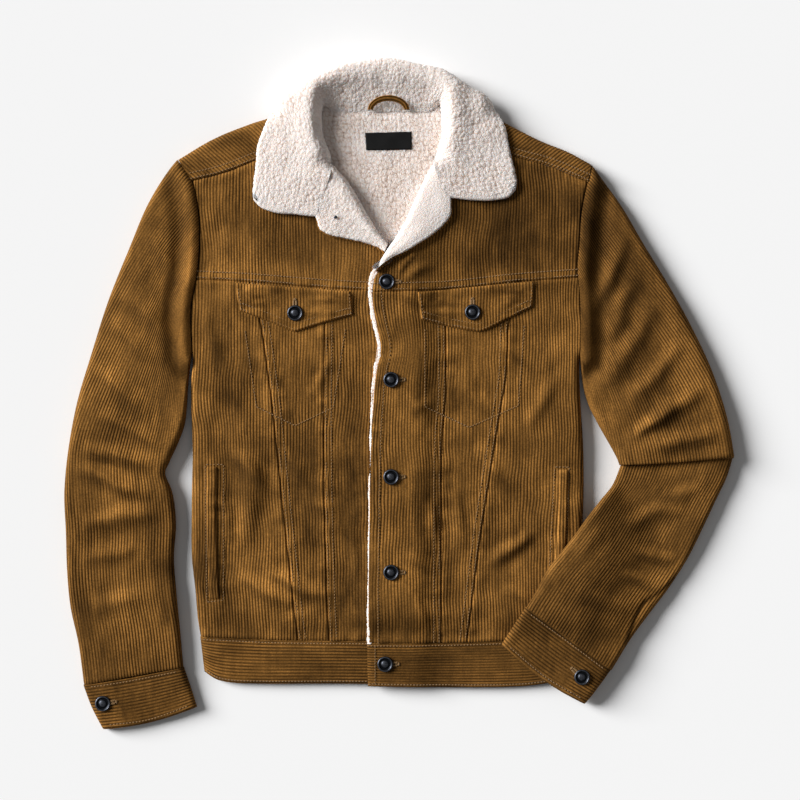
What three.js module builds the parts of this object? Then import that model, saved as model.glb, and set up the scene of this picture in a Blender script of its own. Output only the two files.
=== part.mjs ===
// A sherpa lined corduroy jacket, buttoned up and laid flat on its back.
//
// Frame, in millimetres: the floor is z = 0, +Y points to the collar, and +X to the
// right as one looks down on the front. "Left" and "right" in the names are as seen
// so. The cloth is built as the walls that a tailor sews: back, back lining, front
// linings, fronts, and on them flaps, lapels, collar and buttons, each layer resting
// on the one below it. Outlines are curves through the few points that give a seam
// or an edge its shape, and two pieces that share a seam are made from one curve.

import * as THREE from 'three';

// ---------- cloth ----------
const SEAM = 0.35; // clear gap between two pieces that meet at a seam
const SHELL = 2.5; // corduroy wall
const PILE = 4.8; // sherpa wall, the knitted ground with its pile
const COLLAR_WALL = 6; // the collar is sherpa with its interlining
const BAND = 4.4; // doubled corduroy of the hem band
const CUFF_WALL = 4; // doubled corduroy of a cuff
const FLAP = 2.8; // doubled corduroy of a pocket flap
const WELT = 2; // pocket welt
const LAPEL_SHELL = 2; // corduroy side of a lapel, under its sherpa

// ---------- heights of the layers ----------
const LINING_BOTTOM = SHELL + SEAM;
const LINING_TOP = LINING_BOTTOM + PILE;
const FRONT_LINING_BOTTOM = LINING_TOP + SEAM;
const FRONT_BOTTOM = FRONT_LINING_BOTTOM + PILE + SEAM;
const FRONT_TOP = FRONT_BOTTOM + SHELL;
const BAND_BOTTOM = BAND + SEAM;
const BAND_TOP = BAND_BOTTOM + BAND;
const LAPEL_RISE = SEAM + LAPEL_SHELL + SEAM + PILE; // a lapel's top over the yoke
const OVERLAP_RISE = PILE + SHELL + 3 * SEAM; // right front over the left one
const LINING_END = -236; // the linings stop above the hem
const HEM_START = -250; // from here the fronts come down to the band
const HEM_LEVEL = -284; // the fronts come down to the band here
const HEM_DROP = FRONT_TOP - BAND_TOP - 1;
const SIDE_ROLL = 9; // the cloth starts to roll this far in from a side
const BAND_ROLL = 6;
const SLIT = 3.4; // room left inside a flattened sleeve
const UNDERLAP = 14; // the left front runs under the right one to just short of here
const LINING_EASE = 1.1; // the linings lie this much below the fronts

// ---------- small tools ----------
const mix = THREE.MathUtils.lerp;

function ease(from, to, value) {
  const t = THREE.MathUtils.clamp((value - from) / (to - from), 0, 1);
  return t * t * (3 - 2 * t);
}

// Even steps along a smooth curve through [x, y] or [x, y, z] points.
function along(points, steps) {
  const vectors = points.map(([x, y, z = 0]) => new THREE.Vector3(x, y, z));
  return new THREE.CatmullRomCurve3(vectors, false, 'centripetal').getSpacedPoints(steps);
}

function moved(points, dx, dy = 0) {
  return points.map(([x, y, z = 0]) => [x + dx, y + dy, z]);
}

// Points of a curve at the given shares of its length.
function atShares(points, shares) {
  const vectors = points.map(([x, y, z = 0]) => new THREE.Vector3(x, y, z));
  const curve = new THREE.CatmullRomCurve3(vectors, false, 'centripetal');
  return shares.map((share) => curve.getPointAt(share));
}

const evenShares = (steps) => Array.from({ length: steps + 1 }, (_, i) => i / steps);

// A patch of four edges, filled in as a Coons patch. Rows run from top to bottom and
// columns from left to right, so its face looks up.
function patch(edges, rows, columns) {
  const down = typeof rows === 'number' ? evenShares(rows) : rows;
  const over = typeof columns === 'number' ? evenShares(columns) : columns;
  const left = atShares(edges.left, down);
  const right = atShares(edges.right, down);
  const corners = [left[0], right[0], left.at(-1), right.at(-1)];
  const top = edges.top ? atShares(edges.top, over) : null;
  const bottom = edges.bottom ? atShares(edges.bottom, over) : null;
  return down.map((v, i) => over.map((u, j) => {
    const point = left[i].clone().lerp(right[i], u);
    if (top) {
      const chord = corners[0].clone().lerp(corners[1], u);
      point.addScaledVector(top[j].clone().sub(chord), 1 - v);
    }
    if (bottom) {
      const chord = corners[2].clone().lerp(corners[3], u);
      point.addScaledVector(bottom[j].clone().sub(chord), v);
    }
    return point;
  }));
}

// Triangles of a closed body between an outer and an inner grid of points. With
// `wrap` the columns close into a ring and only the two ends have a rim.
function closedBody(outer, inner, wrap = false) {
  const rows = outer.length;
  const columns = outer[0].length;
  const points = [...outer.flat(), ...inner.flat()];
  const faces = [];
  const out = (i, j) => i * columns + (j % columns);
  const inn = (i, j) => rows * columns + out(i, j);
  const quad = (a, b, c, d) => faces.push(a, b, c, a, c, d);
  const lastColumn = wrap ? columns : columns - 1;
  for (let i = 0; i < rows - 1; i += 1) {
    for (let j = 0; j < lastColumn; j += 1) {
      quad(out(i, j), out(i + 1, j), out(i + 1, j + 1), out(i, j + 1));
      quad(inn(i, j), inn(i, j + 1), inn(i + 1, j + 1), inn(i + 1, j));
    }
  }
  for (let j = 0; j < lastColumn; j += 1) {
    quad(out(0, j), out(0, j + 1), inn(0, j + 1), inn(0, j));
    quad(out(rows - 1, j + 1), out(rows - 1, j), inn(rows - 1, j), inn(rows - 1, j + 1));
  }
  if (!wrap) {
    for (let i = 0; i < rows - 1; i += 1) {
      quad(out(i + 1, 0), out(i, 0), inn(i, 0), inn(i + 1, 0));
      quad(out(i, lastColumn), out(i + 1, lastColumn), inn(i + 1, lastColumn), inn(i, lastColumn));
    }
  }
  return facingOut(points, faces);
}

function facingOut(points, faces) {
  let volume = 0;
  for (let k = 0; k < faces.length; k += 3) {
    const [a, b, c] = [points[faces[k]], points[faces[k + 1]], points[faces[k + 2]]];
    volume += a.dot(b.clone().cross(c));
  }
  if (volume < 0) {
    faces.reverse();
  }
  const geometry = new THREE.BufferGeometry();
  geometry.setAttribute('position', new THREE.Float32BufferAttribute(points.flatMap((p) => [p.x, p.y,
    p.z]), 3));
  geometry.setIndex(faces);
  return geometry;
}

// The far side of a wall whose seen side is the grid.
function wallBehind(grid, depth) {
  const at = (i, j) => grid[THREE.MathUtils.clamp(i, 0, grid.length - 1)][
    THREE.MathUtils.clamp(j, 0, grid[0].length - 1)];
  return grid.map((row, i) => row.map((point, j) => {
    const down = at(i + 1, j).clone().sub(at(i - 1, j));
    const over = at(i, j + 1).clone().sub(at(i, j - 1));
    const normal = down.cross(over).normalize();
    return point.clone().addScaledVector(normal, -depth);
  }));
}

const wall = (grid, depth) => closedBody(grid, wallBehind(grid, depth));

// A body between two heights over a flat patch.
function slab(grid, bottom, top) {
  const lifted = (height) => grid.map((row) => row.map((p) => new THREE.Vector3(p.x, p.y, height(p.x,
    p.y))));
  return closedBody(lifted(top), lifted(bottom));
}

// ---------- folds ----------
// Each ridge runs from one point to another, with its half width and its height.
const FRONT_FOLDS = [
  { from: [-186, -208], to: [-125, -246], reach: 9, height: 2.6 },
  { from: [-152, -208], to: [-72, -238], reach: 9, height: 2.2 },
  { from: [-172, -62], to: [-174, -182], reach: 14, height: 2.6 },
  { from: [-190, -66], to: [-150, -112], reach: 9, height: 2.4 },
  { from: [154, -156], to: [104, -198], reach: 9, height: 2.6 },
  { from: [32, -126], to: [47, -168], reach: 7, height: 1.8 },
  { from: [-140, -62], to: [-104, -108], reach: 10, height: 1.8 },
  { from: [84, -60], to: [132, -112], reach: 11, height: 2 },
  { from: [68, 20], to: [112, -20], reach: 10, height: 1.6 },
];
const LEFT_SLEEVE_FOLDS = [
  { from: [-366, -60], to: [-286, -88], reach: 8, height: 3 },
  { from: [-372, -86], to: [-286, -118], reach: 8, height: 2.6 },
  { from: [-352, 30], to: [-284, -28], reach: 10, height: 2.2 },
  { from: [-368, -150], to: [-284, -136], reach: 9, height: 2.2 },
  { from: [-318, 120], to: [-262, 60], reach: 11, height: 2 },
];
const RIGHT_SLEEVE_FOLDS = [
  { from: [300, 110], to: [238, 6], reach: 12, height: 2.4 },
  { from: [356, 10], to: [272, -44], reach: 10, height: 2.4 },
  { from: [372, -40], to: [290, -66], reach: 8, height: 2.6 },
  { from: [262, 190], to: [228, 90], reach: 10, height: 2 },
];
const FOREARM_FOLDS = [
  { from: [330, -128], to: [258, -150], reach: 9, height: 2.2 },
  { from: [318, -196], to: [268, -176], reach: 7, height: 2.6 },
  { from: [300, -224], to: [252, -206], reach: 7, height: 2.2 },
];

function folds(list, x, y) {
  return list.reduce((sum, { from, to, reach, height }) => {
    const [dx, dy] = [to[0] - from[0], to[1] - from[1]];
    const share = ((x - from[0]) * dx + (y - from[1]) * dy) / (dx * dx + dy * dy);
    const near = THREE.MathUtils.clamp(share, 0, 1);
    const off = Math.hypot(x - from[0] - near * dx, y - from[1] - near * dy);
    return sum + height * Math.exp(-((off / reach) ** 2));
  }, 0);
}

// ---------- heights over the plan ----------
// How far the right front stands up where it laps over the left one.
function overlapLift(x, y) {
  const towardEdge = 1 - ease(UNDERLAP, UNDERLAP + 40, x);
  const underNeck = 1 - ease(158, 215, y);
  const nearHem = mix(OVERLAP_RISE, BAND + SEAM, ease(HEM_START, HEM_LEVEL, y));
  return nearHem * towardEdge * underNeck;
}

const hemDrop = (y) => HEM_DROP * ease(HEM_START, HEM_LEVEL, y);
const leftTop = (x, y) => FRONT_TOP - hemDrop(y) + folds(FRONT_FOLDS, x, y);
const rightTop = (x, y) => leftTop(x, y) + overlapLift(x, y);
const bandLift = (x) => (BAND + SEAM) * (1 - ease(UNDERLAP, UNDERLAP + 36, x));
const sideMiddle = (y) => mix(FRONT_TOP / 2, BAND + SEAM / 2, ease(HEM_START, HEM_LEVEL, y));

// ---------- seams and edges in plan ----------
const ARMHOLE_LEFT = [
  [-256, 272], [-244, 256], [-237, 242], [-231, 209], [-230, 176], [-232, 145], [-234, 131],
  [-239, 105], [-239.4, 75], [-238, 48],
];
const ARMHOLE_RIGHT = [
  [223, 266], [218, 246], [211, 210], [208.4, 175], [206, 144], [209, 110], [209.6, 75], [209, 44],
];
const SIDE_LEFT = [
  [-233.6, 132.4], [-238.6, 105], [-239.2, 75], [-238.2, 46], [-240.6, 15], [-240.8, -20],
  [-239, -60], [-240, -122], [-240, -187], [-236, -226], [-233, -260], [-230, -281],
];
const SIDE_RIGHT = [
  [206.6, 134.4], [208.6, 105], [209.2, 75], [208.6, 46], [209, 15], [211, -20],
  [213.4, -60], [214, -110], [212, -160], [208, -205], [202, -245], [196, -281],
];
const PANEL_SEAMS = {
  leftOuter: [[-172, 129.5], [-160, 83], [-151, 23], [-146, -16], [-132, -150], [-117, -283.6]],
  leftInner: [[-86, 122.6], [-86, 78], [-87, -16], [-85, -168], [-81, -285.2]],
  leftEdge: [[12, 118], [12, 0], [12, -120], [12, -286]],
  rightEdge: [[-31, 117.4], [-29, 96], [-25, 76], [-21.6, 60], [-21.4, 46], [-24.8, 33], [-28.2, 9],
    [-29.8, -16],
    [-31.6, -36], [-32, -53], [-34, -146], [-35, -215], [-35, -288]],
  rightInner: [[54, 120.6], [54, 74], [54.6, 2], [50, -53], [49, -177], [49, -288]],
  rightOuter: [[135, 129.2], [127, 80], [124, 19], [118, -16], [104, -104], [94, -169], [79, -286]],
};
const LEFT_YOKE_INNER = [
  [-100, 296.4], [-98, 290], [-92, 276], [-82, 258], [-70, 240], [-57, 217], [-44, 196], [-30, 176],
  [-8, 156], [8, 138], [12, 118.4],
];
const RIGHT_YOKE_INNER = [
  [60.8, 305.4], [60, 297], [58, 285], [52, 268], [41, 250], [31, 226], [22, 203], [13, 184],
  [2, 166], [-10, 152], [-23, 142], [-29, 130], [-31, 118.2],
];
const LEFT_YOKE_ARMHOLE = [[-239, 247.6], [-237, 240], [-231, 209], [-230, 176], [-232, 145],
  [-233.4, 132.8]];
const RIGHT_YOKE_ARMHOLE = [[217.6, 245.6], [210.6, 210], [208, 175], [205.6, 144], [206.4, 135.2]];
const YOKE_SEAM_LEFT = [[-233.4, 132.8], [-172, 129.9], [-86, 123], [12, 118.4]];
const YOKE_SEAM_RIGHT = [[-31, 118.2], [54, 121.4], [135, 130], [206.4, 135.2]];

// ---------- fronts ----------
const ROWS = 10; // steps down a front panel
const ROLL_SHARES = [0, 0.006, 0.03, 0.065, 0.11, 0.32, 0.55, 0.78, 1];

// How far the cloth has come down, `distance` in from a rolled side.
function rollDown(distance, height, reach) {
  const inward = THREE.MathUtils.clamp(1 - distance / reach, 0, 1);
  return height * (1 - Math.sqrt(1 - inward * inward));
}

function raised(grid, height) {
  return grid.map((row) => row.map((p) => new THREE.Vector3(p.x, p.y, height(p.x, p.y))));
}

// A front panel between two seams of one top surface.
function frontPanel(left, right, top, columns) {
  const grid = patch({ left: moved(left, SEAM / 2), right: moved(right, -SEAM / 2) }, ROWS, columns);
  return slab(grid, (x, y) => top(x, y) - SHELL, top);
}

// A side panel rolls down at the side seam, below the armpit.
function sidePanel(left, right, top, rolledLeft) {
  const shares = rolledLeft ? ROLL_SHARES : ROLL_SHARES.map((share) => 1 - share).reverse();
  const grid = patch({ left: moved(left, SEAM / 2), right: moved(right, -SEAM / 2) }, ROWS, shares);
  const rolled = grid.map((row) => {
    const edge = rolledLeft ? row[0] : row.at(-1);
    const belowArmpit = 1 - ease(30, 52, edge.y);
    return row.map((p) => {
      const height = top(p.x, p.y);
      const fall = height - sideMiddle(p.y) - SEAM / 2;
      const down = rollDown(Math.abs(p.x - edge.x), fall, SIDE_ROLL) * belowArmpit;
      return new THREE.Vector3(p.x, p.y, height - down);
    });
  });
  const behind = wallBehind(rolled, SHELL);
  const inner = rolled.map((row, i) => {
    const edge = rolledLeft ? row[0] : row.at(-1);
    return row.map((p, j) => {
      const flat = Math.abs(p.x - edge.x) > SIDE_ROLL || edge.y > 30;
      const floor = sideMiddle(p.y) + SEAM / 2;
      const point = flat ? new THREE.Vector3(p.x, p.y, p.z - SHELL) : behind[i][j];
      point.z = Math.max(point.z, floor);
      return point;
    });
  });
  return closedBody(rolled, inner);
}

const YOKE_TOP_LEFT = [[-239, 247.6], [-202, 256.2], [-162, 271.6], [-100, 296.2]];
const YOKE_TOP_RIGHT = [[60.8, 305.2], [128, 276.6], [176.7, 262.6], [217.6, 245.6]];
const YOKE_SHARES = [0, 0.1, 0.2, 0.27, 0.34, 0.42, 0.6, 0.8, 1];

function frontYoke(side) {
  const edges = side === 'left'
    ? { left: LEFT_YOKE_ARMHOLE, right: LEFT_YOKE_INNER, top: YOKE_TOP_LEFT, bottom: YOKE_SEAM_LEFT }
    : { left: RIGHT_YOKE_INNER, right: RIGHT_YOKE_ARMHOLE, top: YOKE_TOP_RIGHT, bottom: YOKE_SEAM_RIGHT };
  const top = side === 'left' ? leftTop : rightTop;
  const shares = side === 'left' ? 5 : YOKE_SHARES;
  return slab(patch(edges, 12, shares), (x, y) => top(x, y) - SHELL, top);
}

const LINING_SHARES = [0, 0.1, 0.2, 0.25, 0.3, 0.37, 0.55, 0.78, 1];

// The sherpa under a front, in from the rolls of side and shoulder.
function frontLining(side) {
  const inward = SIDE_ROLL + 4;
  const edges = side === 'left'
    ? {
      left: [[-230, 256], [-222, 209], [-221, 150], [-226, 75], [-226, -20], [-227, -187],
        [-222, LINING_END]],
      right: [[-104, 312], [-94, 276], [-73, 240], [-47, 196], [-32, 174], [-10, 153], [6, 137], [10, 100],
        [10, -60], [10, LINING_END]],
    }
    : {
      left: [[65, 326], [62, 288], [45, 250], [26, 203], [5, 166], [-8, 149], [-27, 141], [-34, 128],
        [-31, 96],
        [-27, 76], [-24, 60], [-24, 46], [-27, 33], [-31, 9], [-32.4, -16], [-32.6, -60], [-33.4, -150],
          [-34, LINING_END]],
      right: [[209, 254], [199, 209], [195, 150], [196, 75], [197, -20], [200, -110],
        [208 - inward, LINING_END]],
    };
  const lift = side === 'left' ? () => 0 : overlapLift;
  const shares = side === 'left' ? 3 : LINING_SHARES;
  const top = (x, y) => FRONT_BOTTOM - hemDrop(y) + lift(x, y) - LINING_EASE;
  return slab(patch(edges, 14, shares), (x, y) => top(x, y) - PILE + LINING_EASE - SEAM, top);
}

// ---------- hem band ----------
const HEM = {
  topLeft: [[-230, -281.4], [-139, -285.6], [-37, -286.4], [12, -286.4]],
  bottomLeft: [[-226, -322], [-212, -331], [-196, -334.6], [-158, -336], [-62, -336], [12, -337]],
  topRight: [[-36, -288.4], [49, -288.4], [119, -286.4], [196, -281.4]],
  bottomRight: [[-36, -338.6], [40, -340], [123, -340], [160, -337.6], [180, -333], [193, -322]],
  topBack: [[-230, -281.4], [-139, -285.6], [49, -287], [196, -281.4]],
  bottomBack: [[-226, -322], [-212, -331], [-196, -334.6], [-62, -336], [123, -338], [160, -336],
    [180, -332],
    [193, -322]],
};
const LEFT_ROLL_SHARES = [0, 0.006, 0.02, 0.05, 0.3, 0.6, 0.7, 0.79, 1];

function hemFront(top, bottom, lift, rolledLeft) {
  const shares = rolledLeft ? LEFT_ROLL_SHARES : LEFT_ROLL_SHARES.map((share) => 1 - share).reverse();
  const edges = {
    top, bottom, left: [top[0], bottom[0]], right: [top.at(-1), bottom.at(-1)],
  };
  const grid = patch(edges, 3, shares);
  const outer = grid.map((row) => row.map((p) => {
    const edge = rolledLeft ? row[0] : row.at(-1);
    const down = rollDown(Math.abs(p.x - edge.x), BAND - 0.6, BAND_ROLL);
    return new THREE.Vector3(p.x, p.y, BAND_TOP + lift(p.x) - down);
  }));
  const inner = raised(grid, (x) => BAND_BOTTOM + lift(x));
  return closedBody(outer, inner);
}

function hemBack() {
  const edges = {
    top: HEM.topBack,
    bottom: HEM.bottomBack,
    left: [HEM.topBack[0], HEM.bottomBack[0]],
    right: [HEM.topBack.at(-1), HEM.bottomBack.at(-1)],
  };
  const ends = [0, 0.004, 0.012, 0.03];
  const shares = [...ends, 0.35, 0.65, ...ends.map((share) => 1 - share).reverse()];
  const grid = patch(edges, 3, shares);
  const outer = grid.map((row) => row.map((p) => {
    const fromSide = Math.min(Math.abs(p.x - row[0].x), Math.abs(p.x - row.at(-1).x));
    return new THREE.Vector3(p.x, p.y, rollDown(fromSide, BAND - 0.6, BAND_ROLL));
  }));
  return closedBody(outer, raised(grid, () => BAND));
}

// ---------- back ----------
function backBody() {
  const edges = { left: SIDE_LEFT, right: SIDE_RIGHT, bottom: moved(HEM.topBack, 0, SEAM) };
  const ends = [0, 0.0015, 0.007, 0.014, 0.024];
  const shares = [...ends, 0.35, 0.65, ...ends.map((share) => 1 - share).reverse()];
  const grid = patch(edges, ROWS, shares);
  const seen = grid.map((row) => row.map((p) => {
    const fromSide = Math.min(Math.abs(p.x - row[0].x), Math.abs(p.x - row.at(-1).x));
    const belowArmpit = 1 - ease(30, 52, row[0].y);
    const up = rollDown(fromSide, sideMiddle(p.y) - SEAM / 2, SIDE_ROLL) * belowArmpit;
    return new THREE.Vector3(p.x, p.y, up);
  }));
  const inner = wallBehind(seen, -SHELL).map((row, i) => row.map((p, j) => {
    const ceiling = sideMiddle(p.y) - SEAM / 2;
    return new THREE.Vector3(p.x, seen[i][j].y, Math.min(p.z, ceiling));
  }));
  return closedBody(seen, inner);
}

const YOKE_GAP = 1.2; // the neck's corners are cut a little straighter than the shoulders

// Where a shoulder's cloth ends under the jacket, with the seam's gap.
function underEdge({ seam, fold }, gap) {
  const foldPoints = along(fold, SHOULDER_STEPS);
  return along(seam, SHOULDER_STEPS).map((start, i) => {
    const direction = foldPoints[i].clone().sub(start);
    const reach = direction.length() - FRONT_TOP / 2 - UNDER_REACH - gap;
    const point = start.addScaledVector(direction.normalize(), reach);
    return [point.x, point.y];
  });
}

function backYoke() {
  const top = [...underEdge(SHOULDERS.left, YOKE_GAP), ...underEdge(SHOULDERS.right, YOKE_GAP)];
  const edges = {
    top,
    left: [top[0], [-237.4, 240], [-231.4, 209], [-230, 176], [-232, 145], [-233.4, 132.8]],
    right: [top.at(-1), [210.6, 210], [208, 175], [205.6, 144], [206.4, 134.8]],
  };
  return slab(patch(edges, 5, 20), () => 0, () => SHELL);
}

function backLining() {
  const edges = {
    left: [[-96, 326], [-150, 290], [-222, 250], [-218, 176], [-224, 75], [-226, -60], [-227, -187],
      [-220, LINING_END]],
    right: [[57, 326], [120, 290], [196, 244], [196, 176], [194, 75], [197, -60], [196, -187],
      [188, LINING_END]],
  };
  const bottom = () => LINING_BOTTOM;
  return slab(patch(edges, 10, 3), bottom, () => LINING_TOP);
}

// ---------- shoulders ----------
const SHOULDERS = {
  left: {
    seam: [[-239.2, 248.2], [-202, 257], [-162, 272.4], [-100.4, 297]],
    fold: [[-255.6, 271.6], [-220, 293], [-173, 312.6], [-148, 320.6], [-98, 343]],
  },
  right: {
    seam: [[61.2, 306], [128, 277.4], [176.7, 263.4], [217.8, 246.2]],
    fold: [[61, 349], [118, 316.6], [164, 293], [196, 280], [222.6, 265.6]],
  },
};
const SHOULDER_STEPS = 7;
const UNDER_REACH = 8; // how far a shoulder runs under before it meets the back

function shoulder({ seam, fold }) {
  const radius = FRONT_TOP / 2;
  const seamPoints = along(seam, SHOULDER_STEPS);
  const foldPoints = along(fold, SHOULDER_STEPS);
  const turns = [90, 60, 30, 0, -30, -60, -90].map(THREE.MathUtils.degToRad);
  const grid = seamPoints.map((start, i) => {
    const direction = foldPoints[i].clone().sub(start);
    const length = direction.length();
    direction.normalize();
    const place = (distance, z) => {
      const point = start.clone().addScaledVector(direction, distance);
      point.z = z;
      return point;
    };
    const centre = length - radius;
    const arc = turns.map((turn) => place(centre + radius * Math.cos(turn),
      radius + radius * Math.sin(turn)));
    return [place(0, FRONT_TOP), place(centre / 2, FRONT_TOP), ...arc, place(centre - UNDER_REACH, 0)];
  });
  return wall(grid, SHELL);
}

// ---------- sleeves ----------
// One section of a flattened tube: its two edges in plan, its height, how much it
// follows the armhole's curve, and how far its middle sags along the sleeve.
const SLEEVE_LEFT = [
  { outer: [-257.2, 272.4], inner: [-239.6, 47.6], height: 15.4, bow: 1 },
  { outer: [-270, 256], inner: [-242, 34], height: 16, bow: 0.8 },
  { outer: [-290, 223], inner: [-244, 16], height: 16.4, bow: 0.5 },
  { outer: [-313, 169], inner: [-245.4, -8], height: 16.8, bow: 0.25 },
  { outer: [-337, 109], inner: [-248, -33], height: 17, bow: 0.1 },
  { outer: [-357, 46], inner: [-256, -56], height: 17 },
  { outer: [-374, -12], inner: [-266, -78], height: 17 },
  { outer: [-383, -60], inner: [-271, -92], height: 17 },
  { outer: [-388, -108], inner: [-263, -113], height: 17 },
  { outer: [-386.4, -160], inner: [-258.6, -150], height: 16.6 },
  { outer: [-385, -205], inner: [-261, -190], height: 16.2 },
  { outer: [-381, -247], inner: [-258, -232], height: 15.8 },
  { outer: [-372, -288], inner: [-254, -273], height: 15.4 },
  { outer: [-365.6, -336], inner: [-250, -315], height: 15 },
];
const CUFF_LEFT = [
  { outer: [-366.4, -338.4], inner: [-249.4, -317.4], height: 11.2, sag: 1 },
  { outer: [-357, -363], inner: [-241.6, -340], height: 11, sag: 3 },
  { outer: [-344, -388.6], inner: [-234.6, -362.6], height: 10.6, sag: 5 },
];
const SLEEVE_RIGHT = [
  { outer: [223.6, 266.4], inner: [209.6, 43.6], height: 15.4, bow: 1 },
  { outer: [237, 248], inner: [211, 32], height: 16, bow: 0.8 },
  { outer: [257, 220], inner: [213, 13], height: 16.6, bow: 0.5 },
  { outer: [284, 174], inner: [219.4, -11], height: 17.4, bow: 0.25 },
  { outer: [312, 128], inner: [229, -31], height: 18, bow: 0.1 },
  { outer: [340, 77], inner: [239, -49], height: 19 },
  { outer: [365, 22], inner: [248, -65], height: 20 },
  { outer: [382, -34], inner: [253, -75], height: 21.4 },
  { outer: [389, -73.4], inner: [256, -81], height: 20.4, sag: 1.5 },
];
const FOREARM = [
  { outer: [388.6, -75.4], inner: [256.6, -83], height: 14.6, sag: 1.5 },
  { outer: [380, -97], inner: [248, -104], height: 15 },
  { outer: [368, -122], inner: [233, -121], height: 15 },
  { outer: [353, -154], inner: [217, -141], height: 15 },
  { outer: [335, -190], inner: [202, -162], height: 15 },
  { outer: [314, -223], inner: [187, -181], height: 15 },
  { outer: [293, -251], inner: [171, -201], height: 15 },
  { outer: [271, -280], inner: [158.5, -225], height: 14.6 },
  { outer: [246.4, -318], inner: [147.4, -243.4], height: 14 },
];
const CUFF_RIGHT = [
  { outer: [244.8, -320], inner: [145.8, -245.4], height: 11.2 },
  { outer: [230, -340], inner: [131.4, -267.6], height: 11, sag: 2 },
  { outer: [215.6, -359], inner: [118.4, -289.4], height: 10.6, sag: 5 },
];
const ACROSS_FLAT = 5; // steps over the flat of a section
const AROUND_EDGE = 4; // steps around a folded edge

// One section as points in plan: share across it, and height in it.
function sectionOutline(height, width, inset) {
  const radius = height / 2;
  const round = radius - inset;
  const points = [];
  for (let i = 0; i <= ACROSS_FLAT; i += 1) {
    points.push([mix(radius, width - radius, i / ACROSS_FLAT), inset]);
  }
  for (let i = 1; i < AROUND_EDGE; i += 1) {
    const turn = Math.PI * (i / AROUND_EDGE - 0.5);
    points.push([width - radius + round * Math.cos(turn), radius + round * Math.sin(turn)]);
  }
  for (let i = ACROSS_FLAT; i >= 0; i -= 1) {
    points.push([mix(radius, width - radius, i / ACROSS_FLAT), height - inset]);
  }
  for (let i = 1; i < AROUND_EDGE; i += 1) {
    const turn = Math.PI * (0.5 + i / AROUND_EDGE);
    points.push([radius + round * Math.cos(turn), radius + round * Math.sin(turn)]);
  }
  return points;
}

// A sleeve or cuff as a flattened tube. `rest` is the height of what it lies on.
function tube(sections, { armhole = null, foldList = [], rest = () => 0, slit = SLIT }) {
  const hole = armhole ? new THREE.CatmullRomCurve3(
    [...armhole].reverse().map(([x, y]) => new THREE.Vector3(x, y, 0)), false, 'centripetal') : null;
  const bend = (share) => {
    if (!hole) {
      return new THREE.Vector3();
    }
    return hole.getPointAt(share).sub(hole.getPointAt(0).lerp(hole.getPointAt(1), share));
  };
  const ring = (section, index, lining) => {
    const inner = new THREE.Vector3(...section.inner, 0);
    const outer = new THREE.Vector3(...section.outer, 0);
    const width = outer.distanceTo(inner);
    const sideways = outer.clone().sub(inner).normalize();
    const down = new THREE.Vector3(sideways.y, -sideways.x, 0);
    down.multiplyScalar(down.y > 0 ? -1 : 1);
    const inset = lining ? (section.height - slit) / 2 : 0;
    return sectionOutline(section.height, width, inset).map(([across, z]) => {
      const share = THREE.MathUtils.clamp(across / width, 0, 1);
      const point = inner.clone().lerp(outer, share);
      point.addScaledVector(bend(share), section.bow ?? 0);
      point.addScaledVector(down, (section.sag ?? 0) * Math.sin(Math.PI * share));
      const crease = z > section.height - 0.01 ? folds(foldList, point.x, point.y) : 0;
      const atEnd = index === 0 || index === sections.length - 1;
      point.z = z + rest(point.x, point.y) + (atEnd ? 0 : crease);
      return point;
    });
  };
  const outer = sections.map((section, index) => ring(section, index, false));
  const inner = sections.map((section, index) => ring(section, index, true));
  return closedBody(outer, inner, true);
}

// The right forearm lies over the body's lower corner and comes down to the floor
// past its side and its hem.
const FOREARM_REST = FRONT_TOP + WELT + 3 * SEAM;
const BAND_REST = BAND_TOP + 2 * SEAM;

function forearmRest(x, y) {
  const side = mix(214, 196, ease(-110, HEM_LEVEL, y));
  const reach = mix(42, 100, ease(-95, -170, y));
  const pastSide = ease(side + reach, side + 3, x);
  const pastHem = ease(-374, -341, y);
  const onBody = mix(BAND_REST, FOREARM_REST, ease(HEM_LEVEL - 6, HEM_START, y));
  return onBody * pastSide * pastHem;
}

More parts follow.
